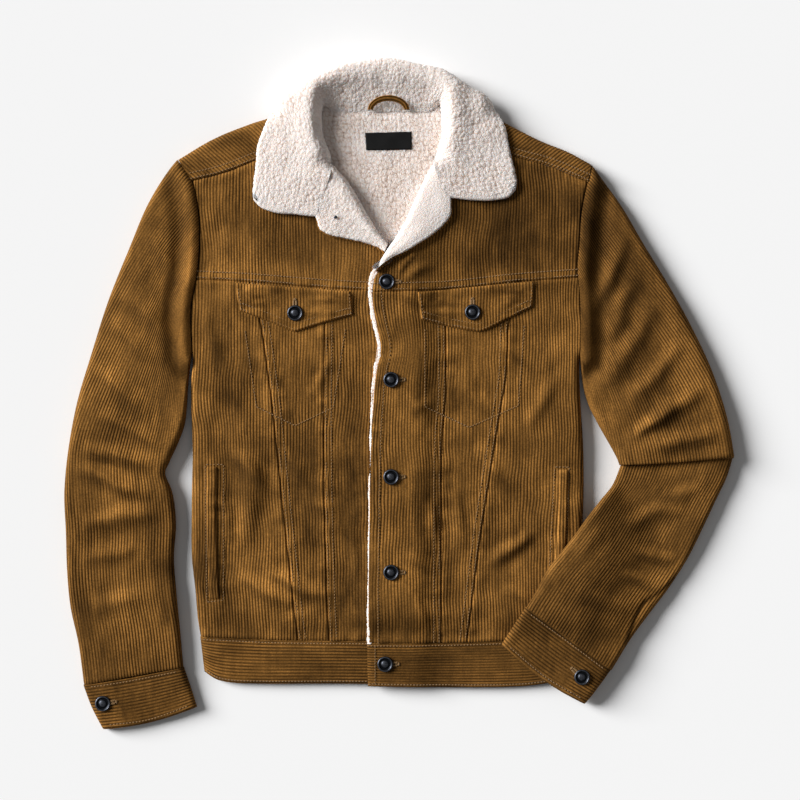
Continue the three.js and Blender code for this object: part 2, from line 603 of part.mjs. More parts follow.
// ---------- collar and lapels ----------
// The collar's seen side, as sections from the neck seam over the roll to the outer
// edge, going round from the left front to the right front.
const COLLAR = [
  [[-97.4, 209, 24], [-118, 209.4, 23.6], [-144, 212.4, 23.2], [-159, 218, 23], [-167.4, 226, 22.6]],
  [[-93, 225.6, 25], [-112, 228, 25], [-138, 236, 24], [-154, 243, 23.4], [-164.6, 248, 22.6]],
  [[-86.4, 243, 26.6], [-104, 247, 26.6], [-128, 256, 25], [-148, 264, 23.6], [-162, 268, 22.6]],
  [[-82, 257, 28], [-98, 263, 28.4], [-122, 272, 26], [-144, 281, 24], [-160.4, 287, 22.6]],
  [[-79, 276.6, 10], [-82, 278, 22], [-92, 281, 29.6], [-120, 291, 26.6], [-142, 299, 24.4],
    [-155, 303, 22.6]],
  [[-86, 294, 9.8], [-89, 295, 22], [-99, 299, 30.4], [-122, 308, 27], [-139, 315, 24.4], [-149, 319, 21]],
  [[-89, 316, 9.8], [-92, 318, 22], [-101, 324, 31], [-118, 333, 28], [-133, 342, 22.4],
    [-140, 342.6, 12.4],
    [-137.4, 340, 4]],
  [[-86.6, 334, 9.6], [-90, 341, 22], [-98, 350, 31], [-108, 358, 27], [-115.6, 360, 15], [-113, 356, 3.4],
    [-106, 351, 0.6]],
  [[-75, 328.6, 8.6], [-79, 345, 18], [-86, 361, 28.6], [-86, 371, 26], [-79, 377, 14], [-77, 373, 3],
    [-73, 361, 0]],
  [[-48, 328, 8.6], [-49, 350, 17.6], [-52, 370, 27], [-53, 381, 26], [-53, 385, 14], [-52, 380, 2.6],
    [-49, 360, 0]],
  [[-18, 328, 8.6], [-18, 350, 17.6], [-19, 373, 27], [-20, 385, 26], [-20, 389, 14], [-20, 384, 2.6],
    [-18, 360, 0]],
  [[13, 328, 8.6], [14, 349, 17.6], [16, 368, 27], [18, 379, 26], [18, 383, 14], [17, 378, 2.6],
    [14, 356, 0]],
  [[36, 328.6, 8.6], [39, 345, 18], [45, 361, 28.6], [50, 371, 26], [53, 375, 14], [51, 371, 3],
    [45, 359, 0]],
  [[46.6, 335, 9.6], [50, 342, 22], [58, 351, 31], [71, 358.6, 27], [80, 357, 15], [79, 353, 3.4],
    [73, 349, 0.6]],
  [[49, 318, 9.8], [52, 320, 22], [61, 326, 31], [80, 335, 28], [98, 343, 22], [106, 340.6, 12],
    [103.4, 338, 4]],
  [[49.8, 298, 9.8], [51.6, 299, 22], [61, 303, 30.4], [86, 309, 27], [106, 313, 24.4], [118, 315, 21]],
  [[44, 280, 10], [47, 281, 22], [57, 284, 29.6], [82, 287, 26.6], [108, 289, 24.4], [124, 289, 22.6]],
  [[43.4, 264, 28], [60, 267, 28.4], [84, 268, 26], [110, 268, 24], [128.6, 267, 22.6]],
  [[49.6, 247, 26.6], [66, 248, 26.6], [90, 250, 25], [112, 251, 23.6], [132, 252, 22.6]],
  [[59, 229.6, 24], [82, 226.4, 23.6], [110, 226.4, 23.2], [125, 229.6, 23], [134, 238, 22.6]],
];
const COLLAR_ACROSS = 9;

const collar = () => wall(COLLAR.map((section) => along(section, COLLAR_ACROSS)), COLLAR_WALL);

// A lapel's rows: a point of its roll and the point of its outer edge beside it.
const LAPEL_LEFT = [
  { roll: [-22.5, 184], edge: [-25, 171.4] },
  { roll: [-29, 196], edge: [-42, 176] },
  { roll: [-38, 210], edge: [-62, 180] },
  { roll: [-48, 228], edge: [-81, 184.6] },
  { roll: [-57.6, 243], edge: [-91.6, 192] },
  { roll: [-66.6, 255], edge: [-94.6, 201] },
  { roll: [-76.6, 262], edge: [-96, 207] },
];
const LAPEL_RIGHT = [
  { roll: [40.6, 266], edge: [57.4, 228] },
  { roll: [31, 254], edge: [60.6, 217] },
  { roll: [22, 234], edge: [60, 206] },
  { roll: [13, 214], edge: [51, 194.6] },
  { roll: [4, 195], edge: [36, 182] },
  { roll: [-5, 180], edge: [20, 171.6] },
  { roll: [-14, 167.4], edge: [4, 162] },
  { roll: [-22.4, 153.6], edge: [-10, 155] },
];

function lapel(rows, top, foot) {
  const grid = rows.map(({ roll, edge }) => {
    const start = new THREE.Vector3(...roll, 0);
    const end = new THREE.Vector3(...edge, 0);
    const width = start.distanceTo(end);
    const scale = Math.min(1, width / 26);
    const height = (p) => top(p.x, p.y) + LAPEL_RISE;
    const crest = height(start) + 3.6;
    const base = foot(...roll);
    const place = (distance, z) => {
      const p = start.clone().lerp(end, distance / width);
      return [p.x, p.y, z];
    };
    const middle = start.clone().lerp(end, 0.6);
    return along([
      place(0, base),
      place(0.8 * scale, mix(base, crest, 0.6)),
      place(4 * scale, crest - 1.4),
      place(9 * scale, crest),
      [middle.x, middle.y, height(middle) + 1],
      [end.x, end.y, height(end) + 0.2],
    ], 8);
  });
  return wall(grid, PILE);
}

// The corduroy side of a lapel lies on the yoke and shows past the sherpa's edge.
function lapelShell(rows, top, past) {
  const inner = rows.map(({ roll, edge }) => {
    const share = Math.min(0.62, 13 / Math.hypot(edge[0] - roll[0], edge[1] - roll[1]));
    return [mix(roll[0], edge[0], share), mix(roll[1], edge[1], share)];
  });
  const outer = rows.map(({ roll, edge }) => {
    const share = 1 + past / Math.hypot(edge[0] - roll[0], edge[1] - roll[1]);
    return [mix(roll[0], edge[0], share), mix(roll[1], edge[1], share)];
  });
  const grid = patch({ left: inner, right: outer }, 8, 2);
  const bottom = (x, y) => top(x, y) + 1.5 * SEAM;
  return slab(grid, bottom, (x, y) => bottom(x, y) + LAPEL_SHELL - SEAM);
}

// ---------- pockets ----------
const FLAPS = {
  left: {
    top: [[-189, 128.6], [-122, 123.6], [-56, 118.6]],
    bottom: [[-184, 97], [-152, 85], [-120, 72.6], [-86, 83], [-53, 92]],
  },
  right: {
    top: [[21.6, 117.6], [90, 124.6], [157, 131]],
    bottom: [[26, 86], [60, 78], [93, 72.6], [123, 86], [153.6, 100.6]],
  },
};

function flap({ top, bottom }, surface) {
  const grid = patch({ top, bottom, left: [top[0], bottom[0]], right: [top.at(-1), bottom.at(-1)] }, 4, 8);
  const rest = (x, y) => surface(x, y) + SEAM;
  return slab(grid, rest, (x, y) => rest(x, y) + FLAP);
}

const WELTS = {
  left: { left: [[-223, -84], [-222.4, -160], [-219.6, -236]], right: [[-211, -84], [-211.4, -160],
    [-208.4, -236]] },
  right: { left: [[184.6, -87], [182.6, -160], [175, -238]], right: [[196, -87], [193.4, -160],
    [186, -238]] },
};

function welt(edges, surface) {
  const rest = (x, y) => surface(x, y) + SEAM;
  return slab(patch(edges, 7, 2), rest, (x, y) => rest(x, y) + WELT);
}

// ---------- trim ----------
const BUTTON_RADIUS = 8.7;
const BUTTON_PROFILE = [
  [0, 0], [7.8, 0], [8.7, 0.9], [8.5, 2.3], [7.6, 2.9], [6.5, 2.4], [4.4, 2.2], [2.6, 3.3], [0, 3.8],
];
const TACK_PROFILE = [[0, 0], [3.4, 0], [3.4, 0.9], [2.2, 1.5], [0, 1.7]];
const ROUND_STEPS = 12;

function turned(profile) {
  const geometry = new THREE.LatheGeometry(profile.map(([x, y]) => new THREE.Vector2(x, y)), ROUND_STEPS);
  geometry.rotateX(Math.PI / 2);
  return geometry;
}

// The height at which a round piece of this radius clears what is under it.
function restHeight(x, y, radius, surface) {
  let highest = surface(x, y);
  for (let i = 0; i < 16; i += 1) {
    const turn = (i / 16) * 2 * Math.PI;
    highest = Math.max(highest, surface(x + radius * Math.cos(turn), y + radius * Math.sin(turn)));
  }
  return highest + SEAM;
}

const cuffTopLeft = () => CUFF_LEFT[1].height;
const cuffTopRight = (x, y) => forearmRest(x, y) + CUFF_RIGHT[1].height;
const flapTop = (surface) => (x, y) => surface(x, y) + SEAM + FLAP;
const BUTTONS = {
  button_front_1: { at: [-14, 130], surface: rightTop },
  button_front_2: { at: [-9, 17], surface: rightTop },
  button_front_3: { at: [-9, -95], surface: rightTop },
  button_front_4: { at: [-9, -205], surface: rightTop },
  button_hem: { at: [-16, -312], surface: (x) => BAND_TOP + bandLift(x) },
  button_flap_left: { at: [-120, 94], surface: flapTop(leftTop) },
  button_flap_right: { at: [85, 95], surface: flapTop(rightTop) },
  button_cuff_left: { at: [-343, -358], surface: cuffTopLeft },
  button_cuff_right: { at: [211, -326], surface: cuffTopRight },
};

const LABEL = { centre: [-12, 293.6], width: 54, height: 21, thickness: 0.9, turn: 1.6 };

function label() {
  const geometry = new THREE.BoxGeometry(LABEL.width, LABEL.height, LABEL.thickness);
  geometry.rotateZ(THREE.MathUtils.degToRad(LABEL.turn));
  geometry.translate(...LABEL.centre, LINING_TOP + SEAM + LABEL.thickness / 2);
  return geometry;
}

// The hanger loop is a strip in an arch, standing off the collar's stand.
const LOOP = { centre: [-12, 329.4], halfWidth: 21, rise: 12.6, strip: 6, wall: 1.8, foot: 11.4,
  slope: 0.62 };

function hangerLoop() {
  const steps = 12;
  const row = (offset) => evenShares(steps).map((share) => {
    const turn = Math.PI * (1 - share);
    const x = LOOP.centre[0] + (LOOP.halfWidth + offset) * Math.cos(turn);
    const y = LOOP.centre[1] + (LOOP.rise + offset) * Math.sin(turn);
    return new THREE.Vector3(x, y, LOOP.foot + LOOP.slope * (y - LOOP.centre[1]) + LOOP.wall);
  });
  return wall([row(LOOP.strip / 2), row(-LOOP.strip / 2)], LOOP.wall);
}

// ---------- materials ----------
const CORDUROY = { color: 0x6f4f22, roughness: 0.9, metalness: 0 };
const SHERPA = { color: 0xece4df, roughness: 1, metalness: 0 };
const GUNMETAL = { color: 0x23262b, roughness: 0.4, metalness: 0.9 };
const WOVEN = { color: 0x141414, roughness: 0.8, metalness: 0 };

// ---------- assembly ----------
const jacket = new THREE.Group();

function add(name, geometry, finish) {
  const mesh = new THREE.Mesh(geometry, new THREE.MeshStandardMaterial(finish));
  mesh.name = name;
  jacket.add(mesh);
  return mesh;
}

const seams = PANEL_SEAMS;
add('back_body', backBody(), CORDUROY);
add('back_yoke', backYoke(), CORDUROY);
add('shoulder_left', shoulder(SHOULDERS.left), CORDUROY);
add('shoulder_right', shoulder(SHOULDERS.right), CORDUROY);
add('hem_back', hemBack(), CORDUROY);
add('back_lining', backLining(), SHERPA);
add('lining_left', frontLining('left'), SHERPA);
add('lining_right', frontLining('right'), SHERPA);
add('front_yoke_left', frontYoke('left'), CORDUROY);
add('front_yoke_right', frontYoke('right'), CORDUROY);
add('front_side_left', sidePanel(SIDE_LEFT, seams.leftOuter, leftTop, true), CORDUROY);
add('front_middle_left', frontPanel(seams.leftOuter, seams.leftInner, leftTop, 4), CORDUROY);
add('front_center_left', frontPanel(seams.leftInner, seams.leftEdge, leftTop, 4), CORDUROY);
add('front_center_right', frontPanel(seams.rightEdge, seams.rightInner, rightTop, 6), CORDUROY);
add('front_middle_right', frontPanel(seams.rightInner, seams.rightOuter, rightTop, 4), CORDUROY);
add('front_side_right', sidePanel(seams.rightOuter, SIDE_RIGHT, rightTop, false), CORDUROY);
add('hem_left', hemFront(HEM.topLeft, HEM.bottomLeft, () => 0, true), CORDUROY);
add('hem_right', hemFront(HEM.topRight, HEM.bottomRight, bandLift, false), CORDUROY);
add('flap_left', flap(FLAPS.left, leftTop), CORDUROY);
add('flap_right', flap(FLAPS.right, rightTop), CORDUROY);
add('welt_left', welt(WELTS.left, leftTop), CORDUROY);
add('welt_right', welt(WELTS.right, rightTop), CORDUROY);
add('sleeve_left', tube(SLEEVE_LEFT, { armhole: ARMHOLE_LEFT, foldList: LEFT_SLEEVE_FOLDS }), CORDUROY);
add('sleeve_right_upper', tube(SLEEVE_RIGHT, { armhole: ARMHOLE_RIGHT, foldList: RIGHT_SLEEVE_FOLDS }),
  CORDUROY);
add('sleeve_right_lower', tube(FOREARM, { foldList: FOREARM_FOLDS, rest: forearmRest }), CORDUROY);
add('cuff_left', tube(CUFF_LEFT, { slit: CUFF_LEFT[2].height - 2 * CUFF_WALL }), CORDUROY);
add('cuff_right', tube(CUFF_RIGHT, { rest: forearmRest, slit: CUFF_RIGHT[2].height - 2 * CUFF_WALL }),
  CORDUROY);
add('collar', collar(), SHERPA);
add('lapel_left', lapel(LAPEL_LEFT, leftTop, () => FRONT_LINING_BOTTOM), SHERPA);
add('lapel_right', lapel(LAPEL_RIGHT, rightTop, (x, y) => mix(16.4, FRONT_LINING_BOTTOM, ease(166, 190,
  y))), SHERPA);
add('lapel_shell_left', lapelShell(LAPEL_LEFT, leftTop, 1.6), CORDUROY);
add('lapel_shell_right', lapelShell(LAPEL_RIGHT, rightTop, 1.6), CORDUROY);
add('label', label(), WOVEN);
add('hanger_loop', hangerLoop(), CORDUROY);
Object.entries(BUTTONS).forEach(([name, { at, surface }]) => {
  const button = add(name, turned(BUTTON_PROFILE), GUNMETAL);
  button.position.set(...at, restHeight(...at, BUTTON_RADIUS, surface));
});
const tack = add('lapel_tack', turned(TACK_PROFILE), GUNMETAL);
tack.position.set(-73, 204, restHeight(-73, 204, 3.4, (x, y) => leftTop(x, y) + LAPEL_RISE + 2));

export default jacket;
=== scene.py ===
"""A sherpa lined corduroy jacket, buttoned up and laid flat on its back.

The fine surface is worked out in millimetres over the same plan as the solids: +Y
points to the collar, +X to the right as one looks down on the front, and z is the
height over the floor. Meshes are scaled to metres when they are made.
"""
import logging
import math
from dataclasses import dataclass, field
from enum import Enum
from typing import Callable, Sequence

import bpy
import numpy as np
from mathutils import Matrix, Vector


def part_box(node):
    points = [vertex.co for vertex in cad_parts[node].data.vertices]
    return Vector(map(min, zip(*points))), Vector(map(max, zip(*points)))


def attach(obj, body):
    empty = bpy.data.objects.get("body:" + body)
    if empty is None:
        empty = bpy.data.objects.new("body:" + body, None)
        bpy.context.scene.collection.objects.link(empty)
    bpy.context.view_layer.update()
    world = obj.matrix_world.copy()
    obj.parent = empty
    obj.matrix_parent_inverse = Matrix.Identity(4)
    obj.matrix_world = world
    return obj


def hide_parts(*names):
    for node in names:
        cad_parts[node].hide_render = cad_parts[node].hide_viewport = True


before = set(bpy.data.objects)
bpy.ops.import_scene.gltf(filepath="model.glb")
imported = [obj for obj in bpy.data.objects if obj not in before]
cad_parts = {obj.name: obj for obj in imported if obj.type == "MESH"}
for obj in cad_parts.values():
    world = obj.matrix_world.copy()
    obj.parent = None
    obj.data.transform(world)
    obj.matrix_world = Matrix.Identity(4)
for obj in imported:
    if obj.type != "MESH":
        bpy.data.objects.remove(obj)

LOG = logging.getLogger("jacket")
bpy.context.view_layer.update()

MM = 0.001
WALE = 3.5  # from one wale of the corduroy to the next
WALE_STEPS = 6  # grid columns over one wale
WALE_HEIGHT = 0.65  # a wale's crest over its groove
ROW_STEP = 4.5  # grid rows along the wales
SEAM_DIP = 1.5  # the cloth's edge turns down this far at a seam
FLAP_RISE = 3.3  # a flap's stitches over the front below it
FOLD_GAIN = 1.75  # the cloth's folds against the solids' own

SLOPE_LIGHT_GAIN = 0.42  # how much the painted light and shade of the cloth's slope along the wale lighten or darken it

# patches of painted light and shade, lighter where folds face the light and darker where the cloth lies in
# shade: x, y, half width, half height and amount
PAINTED_LIGHT_PATCHES = [
    (130, 200, 84, 60, -0.56), (60, 150, 60, 24, -0.2), (-110, 185, 60, 26, -0.28), (-190, 215, 30, 40, 0.1),
    (-60, 150, 40, 24, -0.12), (-150, 40, 40, 60, 0.12), (-110, 62, 26, 26, 0.18), (-60, -60, 24, 80, 0.05),
    (-130, -225, 60, 24, 0.22), (-210, -150, 20, 90, -0.1), (-200, 90, 26, 60, 0.06), (95, 20, 40, 50, 0.06),
    (190, -60, 26, 120, -0.25), (70, -190, 40, 40, -0.06), (110, -220, 90, 50, -0.2), (25, 60, 20, 60, -0.1),
    (-300, 100, 26, 80, 0.16), (-350, 0, 20, 120, 0.02), (-300, 190, 20, 50, -0.12),
    (-165, -60, 18, 30, 0.22), (-142, -110, 16, 40, 0.25), (-130, 146, 60, 9, 0.2),
    (-150, 306, 44, 7, 0.3), (-270, 20, 16, 50, -0.15),
    (-320, -210, 50, 60, -0.02), (-300, -330, 70, 20, -0.2), (-300, -365, 70, 26, -0.36),
    (-330, -100, 50, 36, 0.12),
    (250, 150, 46, 110, -0.38), (290, 70, 40, 90, -0.24), (340, -30, 50, 50, -0.14),
    (300, -130, 70, 60, -0.26),
    (230, -210, 60, 50, -0.2), (190, -290, 60, 50, -0.4), (-120, -310, 140, 30, -0.3),
    (60, -310, 120, 30, -0.3),
    (160, 300, 40, 20, 0.05), (-185, 298, 26, 14, -0.22),
]

Array = np.ndarray
Point = Sequence[float]
Height = Callable[[Array, Array], Array]


# ---------------------------------------------------------------- small tools
def ease(start: float, end: float, value: Array) -> Array:
    """Return a smooth step from 0 at start to 1 at end."""
    t = np.clip((value - start) / (end - start), 0.0, 1.0)
    return t * t * (3 - 2 * t)


def level_ground(x: Array, y: Array) -> Array:
    """Return no height at all, for cloth that lies on the floor."""
    return 0 * x


def raised_by(base: Height, rise: float) -> Height:
    """Return the surface that lies the given rise over another."""
    def surface(x: Array, y: Array) -> Array:
        """Return the raised height."""
        return base(x, y) + rise
    return surface


def mix(a: Array, b: Array, share: Array) -> Array:
    """Return the value at the given share of the way from a to b."""
    return a + (b - a) * share


def smooth_curve(points: Sequence[Point], samples: int = 240) -> Array:
    """Run a smooth curve through points of any dimension.

    Args:
        points: the points it passes through, in order.
        samples: how many points to return.

    Returns:
        An array of points, evenly spread along the curve.
    """
    p = np.asarray(points, float)
    gaps = np.sqrt(np.linalg.norm(np.diff(p, axis=0), axis=1)) + 1e-9
    knots = np.r_[0.0, np.cumsum(gaps)]
    tangents = np.gradient(p, knots, axis=0)
    t = np.linspace(0.0, knots[-1], max(samples, 8) * 3)
    k = np.clip(np.searchsorted(knots, t, side="right") - 1, 0, len(p) - 2)
    h = (knots[k + 1] - knots[k])[:, None]
    s = (t - knots[k])[:, None] / h
    curve = ((2 * s**3 - 3 * s**2 + 1) * p[k] + (s**3 - 2 * s**2 + s) * h * tangents[k]
             + (3 * s**2 - 2 * s**3) * p[k + 1] + (s**3 - s**2) * h * tangents[k + 1])
    return even_points(curve, samples)


def even_points(curve: Array, samples: int) -> Array:
    """Return points spread evenly along a polyline."""
    length = np.r_[0.0, np.cumsum(np.linalg.norm(np.diff(curve, axis=0), axis=1))]
    at = np.linspace(0.0, length[-1], samples)
    return np.stack([np.interp(at, length, curve[:, d]) for d in range(curve.shape[1])], axis=1)


def curve_length(curve: Array) -> float:
    """Return the length of a polyline."""
    return float(np.linalg.norm(np.diff(curve, axis=0), axis=1).sum())


def x_at(points: Sequence[Point]) -> Callable[[Array], Array]:
    """Return x as a function of y along an edge that runs up or down."""
    curve = smooth_curve(points)
    order = np.argsort(curve[:, 1])
    return lambda y: np.interp(y, curve[order, 1], curve[order, 0])


def y_at(points: Sequence[Point]) -> Callable[[Array], Array]:
    """Return y as a function of x along an edge that runs across."""
    curve = smooth_curve(points)
    order = np.argsort(curve[:, 0])
    return lambda x: np.interp(x, curve[order, 0], curve[order, 1])


def soft_noise(x: Array, y: Array, scale: float, seed: int) -> Array:
    """Return smooth noise from -1 to 1 whose bumps are about scale wide."""
    table = np.random.default_rng(seed).uniform(-1.0, 1.0, (97, 97))
    gx, gy = np.asarray(x) / scale, np.asarray(y) / scale
    ix, iy = np.floor(gx).astype(int), np.floor(gy).astype(int)
    fx, fy = gx - ix, gy - iy
    sx, sy = fx * fx * (3 - 2 * fx), fy * fy * (3 - 2 * fy)

    def corner(a: int, b: int) -> Array:
        """Return the table's value at one corner of each cell."""
        return table[(ix + a) % 97, (iy + b) % 97]

    low = mix(corner(0, 0), corner(1, 0), sx)
    high = mix(corner(0, 1), corner(1, 1), sx)
    return mix(low, high, sy)


def clumps(u: Array, v: Array, size: float, seed: int) -> tuple[Array, Array]:
    """Return the loft of sherpa clumps: 0 in a crease, 1 on a clump, and each clump's own number."""
    rng = np.random.default_rng(seed)
    jitter = rng.uniform(0.12, 0.88, (61, 61, 2))
    own = rng.uniform(0.0, 1.0, (61, 61))
    gu, gv = u / size, v / size
    iu, iv = np.floor(gu).astype(int), np.floor(gv).astype(int)
    near = np.full(gu.shape, 9.0)
    second = np.full(gu.shape, 9.0)
    number = np.zeros(gu.shape)
    for a in (-1, 0, 1):
        for b in (-1, 0, 1):
            cu, cv = iu + a, iv + b
            spot = jitter[cu % 61, cv % 61]
            far = np.hypot(cu + spot[..., 0] - gu, cv + spot[..., 1] - gv)
            closer = far < near
            second = np.where(closer, near, np.minimum(second, far))
            number = np.where(closer, own[cu % 61, cv % 61], number)
            near = np.where(closer, far, near)
    rounded = np.clip(1.0 - near**2, 0, 1)
    return 0.55 * rounded + 0.45 * ease(0.0, 0.3, second - near), number


def near_line(x: Array, y: Array, line: Array) -> Array:
    """Return how far each place is from a polyline in plan."""
    best = np.full(np.shape(x), 1e9)
    for (ax, ay), (bx, by) in zip(line[:-1, :2], line[1:, :2]):
        dx, dy = bx - ax, by - ay
        share = np.clip(((x - ax) * dx + (y - ay) * dy) / (dx * dx + dy * dy + 1e-12), 0, 1)
        best = np.minimum(best, np.hypot(x - ax - share * dx, y - ay - share * dy))
    return best


def slope_painted_light(slope: Array) -> Array:
    """Return the painted light and shade that the cloth's slope along the wale gives it.

    Each fold is painted lighter on the side that the key light falls on and darker on the side turned away.
    """
    return 1 - SLOPE_LIGHT_GAIN * np.tanh(slope * 4.5)


def painted_light_and_pile(x: Array, y: Array) -> Array:
    """Return the large patches of painted light and shade, and the pile crushed lighter along the seams."""
    total = np.full(np.shape(x), 0.93)
    for px, py, wide, tall, amount in PAINTED_LIGHT_PATCHES:
        total = total + amount * np.exp(-(((x - px) / wide) ** 2) - ((y - py) / tall) ** 2)
    seam = np.exp(-((near_seam(x, y) / 8.5) ** 4))
    return total + seam * (0.1 + 0.12 * soft_noise(x, y, 6, 104))


def mottle(across: Array, along: Array) -> Array:
    """Return the pile's own patches, two to three times longer along the wales than across them."""
    broad = 0.24 * soft_noise(across, along * 0.6, 46, 100) + 0.26 * soft_noise(across, along * 0.5, 26, 101)
    middle = 0.2 * soft_noise(across, along * 0.4, 11, 102)
    return 1 + broad + middle + 0.18 * soft_noise(across, along * 0.3, 4, 103)


def wale_shape(across: Array) -> Array:
    """Return a wale's profile from 0 in its groove to 1 on its crest."""
    return np.abs(np.cos(math.pi * across / WALE)) ** 0.7


def hidden(across: Array, along: Array) -> Array:
    """Return how far the brushed pile hides the wales, from 0 to about 0.8."""
    noise = 0.45 * soft_noise(across, along * 0.5, 24, 105) + 0.36 * soft_noise(across, along * 0.35, 7, 106)
    return np.clip(0.16 + noise + 0.2 * soft_noise(across, along, 3.2, 107), 0.0, 0.85)


def linear(colour: str) -> tuple[float, float, float, float]:
    """Turn an sRGB hex colour into linear red, green, blue and alpha."""
    values = [int(colour[i:i + 2], 16) / 255 for i in (1, 3, 5)]
    r, g, b = (v / 12.92 if v <= 0.04045 else ((v + 0.055) / 1.055) ** 2.4 for v in values)
    return r, g, b, 1.0


# ---------------------------------------------------------------- finishes
class Slot(Enum):
    """The record's material slots."""
    CORDUROY = "corduroy"
    SHERPA = "sherpa"
    GUNMETAL = "gunmetal"
    LABEL = "label"


def add_node(tree: bpy.types.NodeTree, kind: str, links: dict | None = None,
             **settings: object) -> bpy.types.Node:
    """Add a shader node.

    Args:
        tree: the material's node tree.
        kind: the node's type name.
        links: for an input's name or number, the output socket that feeds it, or its value.
        settings: the node's own properties.

    Returns:
        The new node.
    """
    node = tree.nodes.new(kind)
    for name, value in settings.items():
        setattr(node, name, value)
    for name, source in (links or {}).items():
        if isinstance(source, bpy.types.NodeSocket):
            tree.links.new(source, node.inputs[name])
        else:
            node.inputs[name].default_value = source
    return node


def ramp(tree: bpy.types.NodeTree, fac: bpy.types.NodeSocket,
         stops: Sequence[tuple[float, str]]) -> bpy.types.NodeSocket:
    """Colour a value by a ramp of hex colours and return its colour socket."""
    node = add_node(tree, "ShaderNodeValToRGB", {"Fac": fac})
    elements = node.color_ramp.elements
    while len(elements) < len(stops):
        elements.new(0.5)
    for element, (position, colour) in zip(elements, stops):
        element.position = position
        element.color = linear(colour)
    return node.outputs["Color"]


class Finish:
    """A finish makes its material once and hands it to every piece that wears it."""
    name = "finish"

    def material(self) -> bpy.types.Material:
        """Return the finish's material, made on first use."""
        existing = bpy.data.materials.get(self.name)
        if existing:
            return existing
        made = bpy.data.materials.new(self.name)
        made.use_nodes = True
        tree = made.node_tree
        tree.nodes.clear()
        shader = add_node(tree, "ShaderNodeBsdfPrincipled")
        add_node(tree, "ShaderNodeOutputMaterial", {"Surface": shader.outputs[0]})
        self.dress(tree, shader)
        return made

    def dress(self, tree: bpy.types.NodeTree, shader: bpy.types.Node) -> None:
        """Set the shader's sockets and feed it its patterns."""
        raise NotImplementedError


@dataclass(frozen=True)
class Corduroy(Finish):
    """Wide-wale cotton corduroy, cut pile on a woven ground, garment dyed brown.

    The colour paints light on the crests and shade in the grooves, which stay nearly black; the cut pile
    leans either way, so the cloth shows soft lighter and darker patches, some of them painted light and
    shade.
    """
    name: str = "brown_cotton_corduroy"
    # groove to crest: painted shade in the grooves and painted light on the crests, over the cloth's own
    # brown
    groove_shade: str = "#2b1b08"
    flank: str = "#5c3f1b"
    crest: str = "#986a33"

    def dress(self, tree: bpy.types.NodeTree, shader: bpy.types.Node) -> None:
        """Colour by the wale, with painted shade in the grooves and painted light on the crests, then by the
        nap's patches and the mesh's painted light and shade, with fine fibres as bump.
        """
        place = add_node(tree, "ShaderNodeTexCoord").outputs["Object"]
        wale = add_node(tree, "ShaderNodeAttribute", attribute_name="wale").outputs["Fac"]
        cloth = ramp(tree, wale, [(0.0, self.groove_shade), (0.55, self.flank), (1.0, self.crest)])
        # the nap's lean changes over 60 mm patches and along single wales
        patches = add_node(tree, "ShaderNodeTexNoise", {"Vector": place, "Scale": 16.0, "Detail": 5.0,
                                                        "Roughness": 0.62}).outputs["Fac"]
        along = add_node(tree, "ShaderNodeMapping", {"Vector": place, "Scale": (240.0, 22.0,
                60.0)}).outputs[0]
        streaks = add_node(tree, "ShaderNodeTexNoise", {"Vector": along, "Scale": 1.0,
                                                        "Detail": 3.0}).outputs["Fac"]
        lean = add_node(tree, "ShaderNodeMath", {0: patches, 1: streaks}, operation="MULTIPLY").outputs[0]
        chance = add_node(tree, "ShaderNodeMapRange", {"Value": lean, "From Min": 0.14, "From Max": 0.4,
                                                       "To Min": 0.85, "To Max": 1.18}).outputs[0]
        # painted light and shade from the folds' slope and the patches, with the pile's own tone and crushed
        # seams, carried by the mesh
        painted_light_and_pile = add_node(tree, "ShaderNodeAttribute", attribute_name="nap_and_painted_light").outputs["Fac"]
        # tufts of cut pile, 2 mm apart, that catch the light one by one
        tufts = add_node(tree, "ShaderNodeTexNoise", {"Vector": place, "Scale": 560.0, "Detail": 3.0,
                                                      "Roughness": 0.7}).outputs["Fac"]
        glint = add_node(tree, "ShaderNodeMapRange", {"Value": tufts, "From Min": 0.3, "From Max": 0.7,
                                                      "To Min": 0.62, "To Max": 1.38}).outputs[0]
        tufted = add_node(tree, "ShaderNodeMath", {0: chance, 1: glint}, operation="MULTIPLY").outputs[0]
        nap_and_painted_light = add_node(tree, "ShaderNodeMath", {0: tufted, 1: painted_light_and_pile}, operation="MULTIPLY").outputs[0]
        shaded = add_node(tree, "ShaderNodeVectorMath", {0: cloth, "Scale": nap_and_painted_light},
                          operation="SCALE").outputs[0]
        tree.links.new(shaded, shader.inputs["Base Color"])
        # cut cotton fibres, 0.4 mm apart, drawn 1 mm coarse so that they show
        fibres = add_node(tree, "ShaderNodeTexNoise", {"Vector": place, "Scale": 1000.0,
                                                       "Detail": 2.0}).outputs["Fac"]
        bump = add_node(tree, "ShaderNodeBump", {"Height": fibres, "Strength": 0.35, "Distance": 0.0006})
        tree.links.new(bump.outputs[0], shader.inputs["Normal"])
        shader.inputs["Roughness"].default_value = 0.88
        shader.inputs["Specular IOR Level"].default_value = 0.05
        shader.inputs["Sheen Weight"].default_value = 0.03
        shader.inputs["Sheen Roughness"].default_value = 0.42
        shader.inputs["Sheen Tint"].default_value = linear("#d8a765")


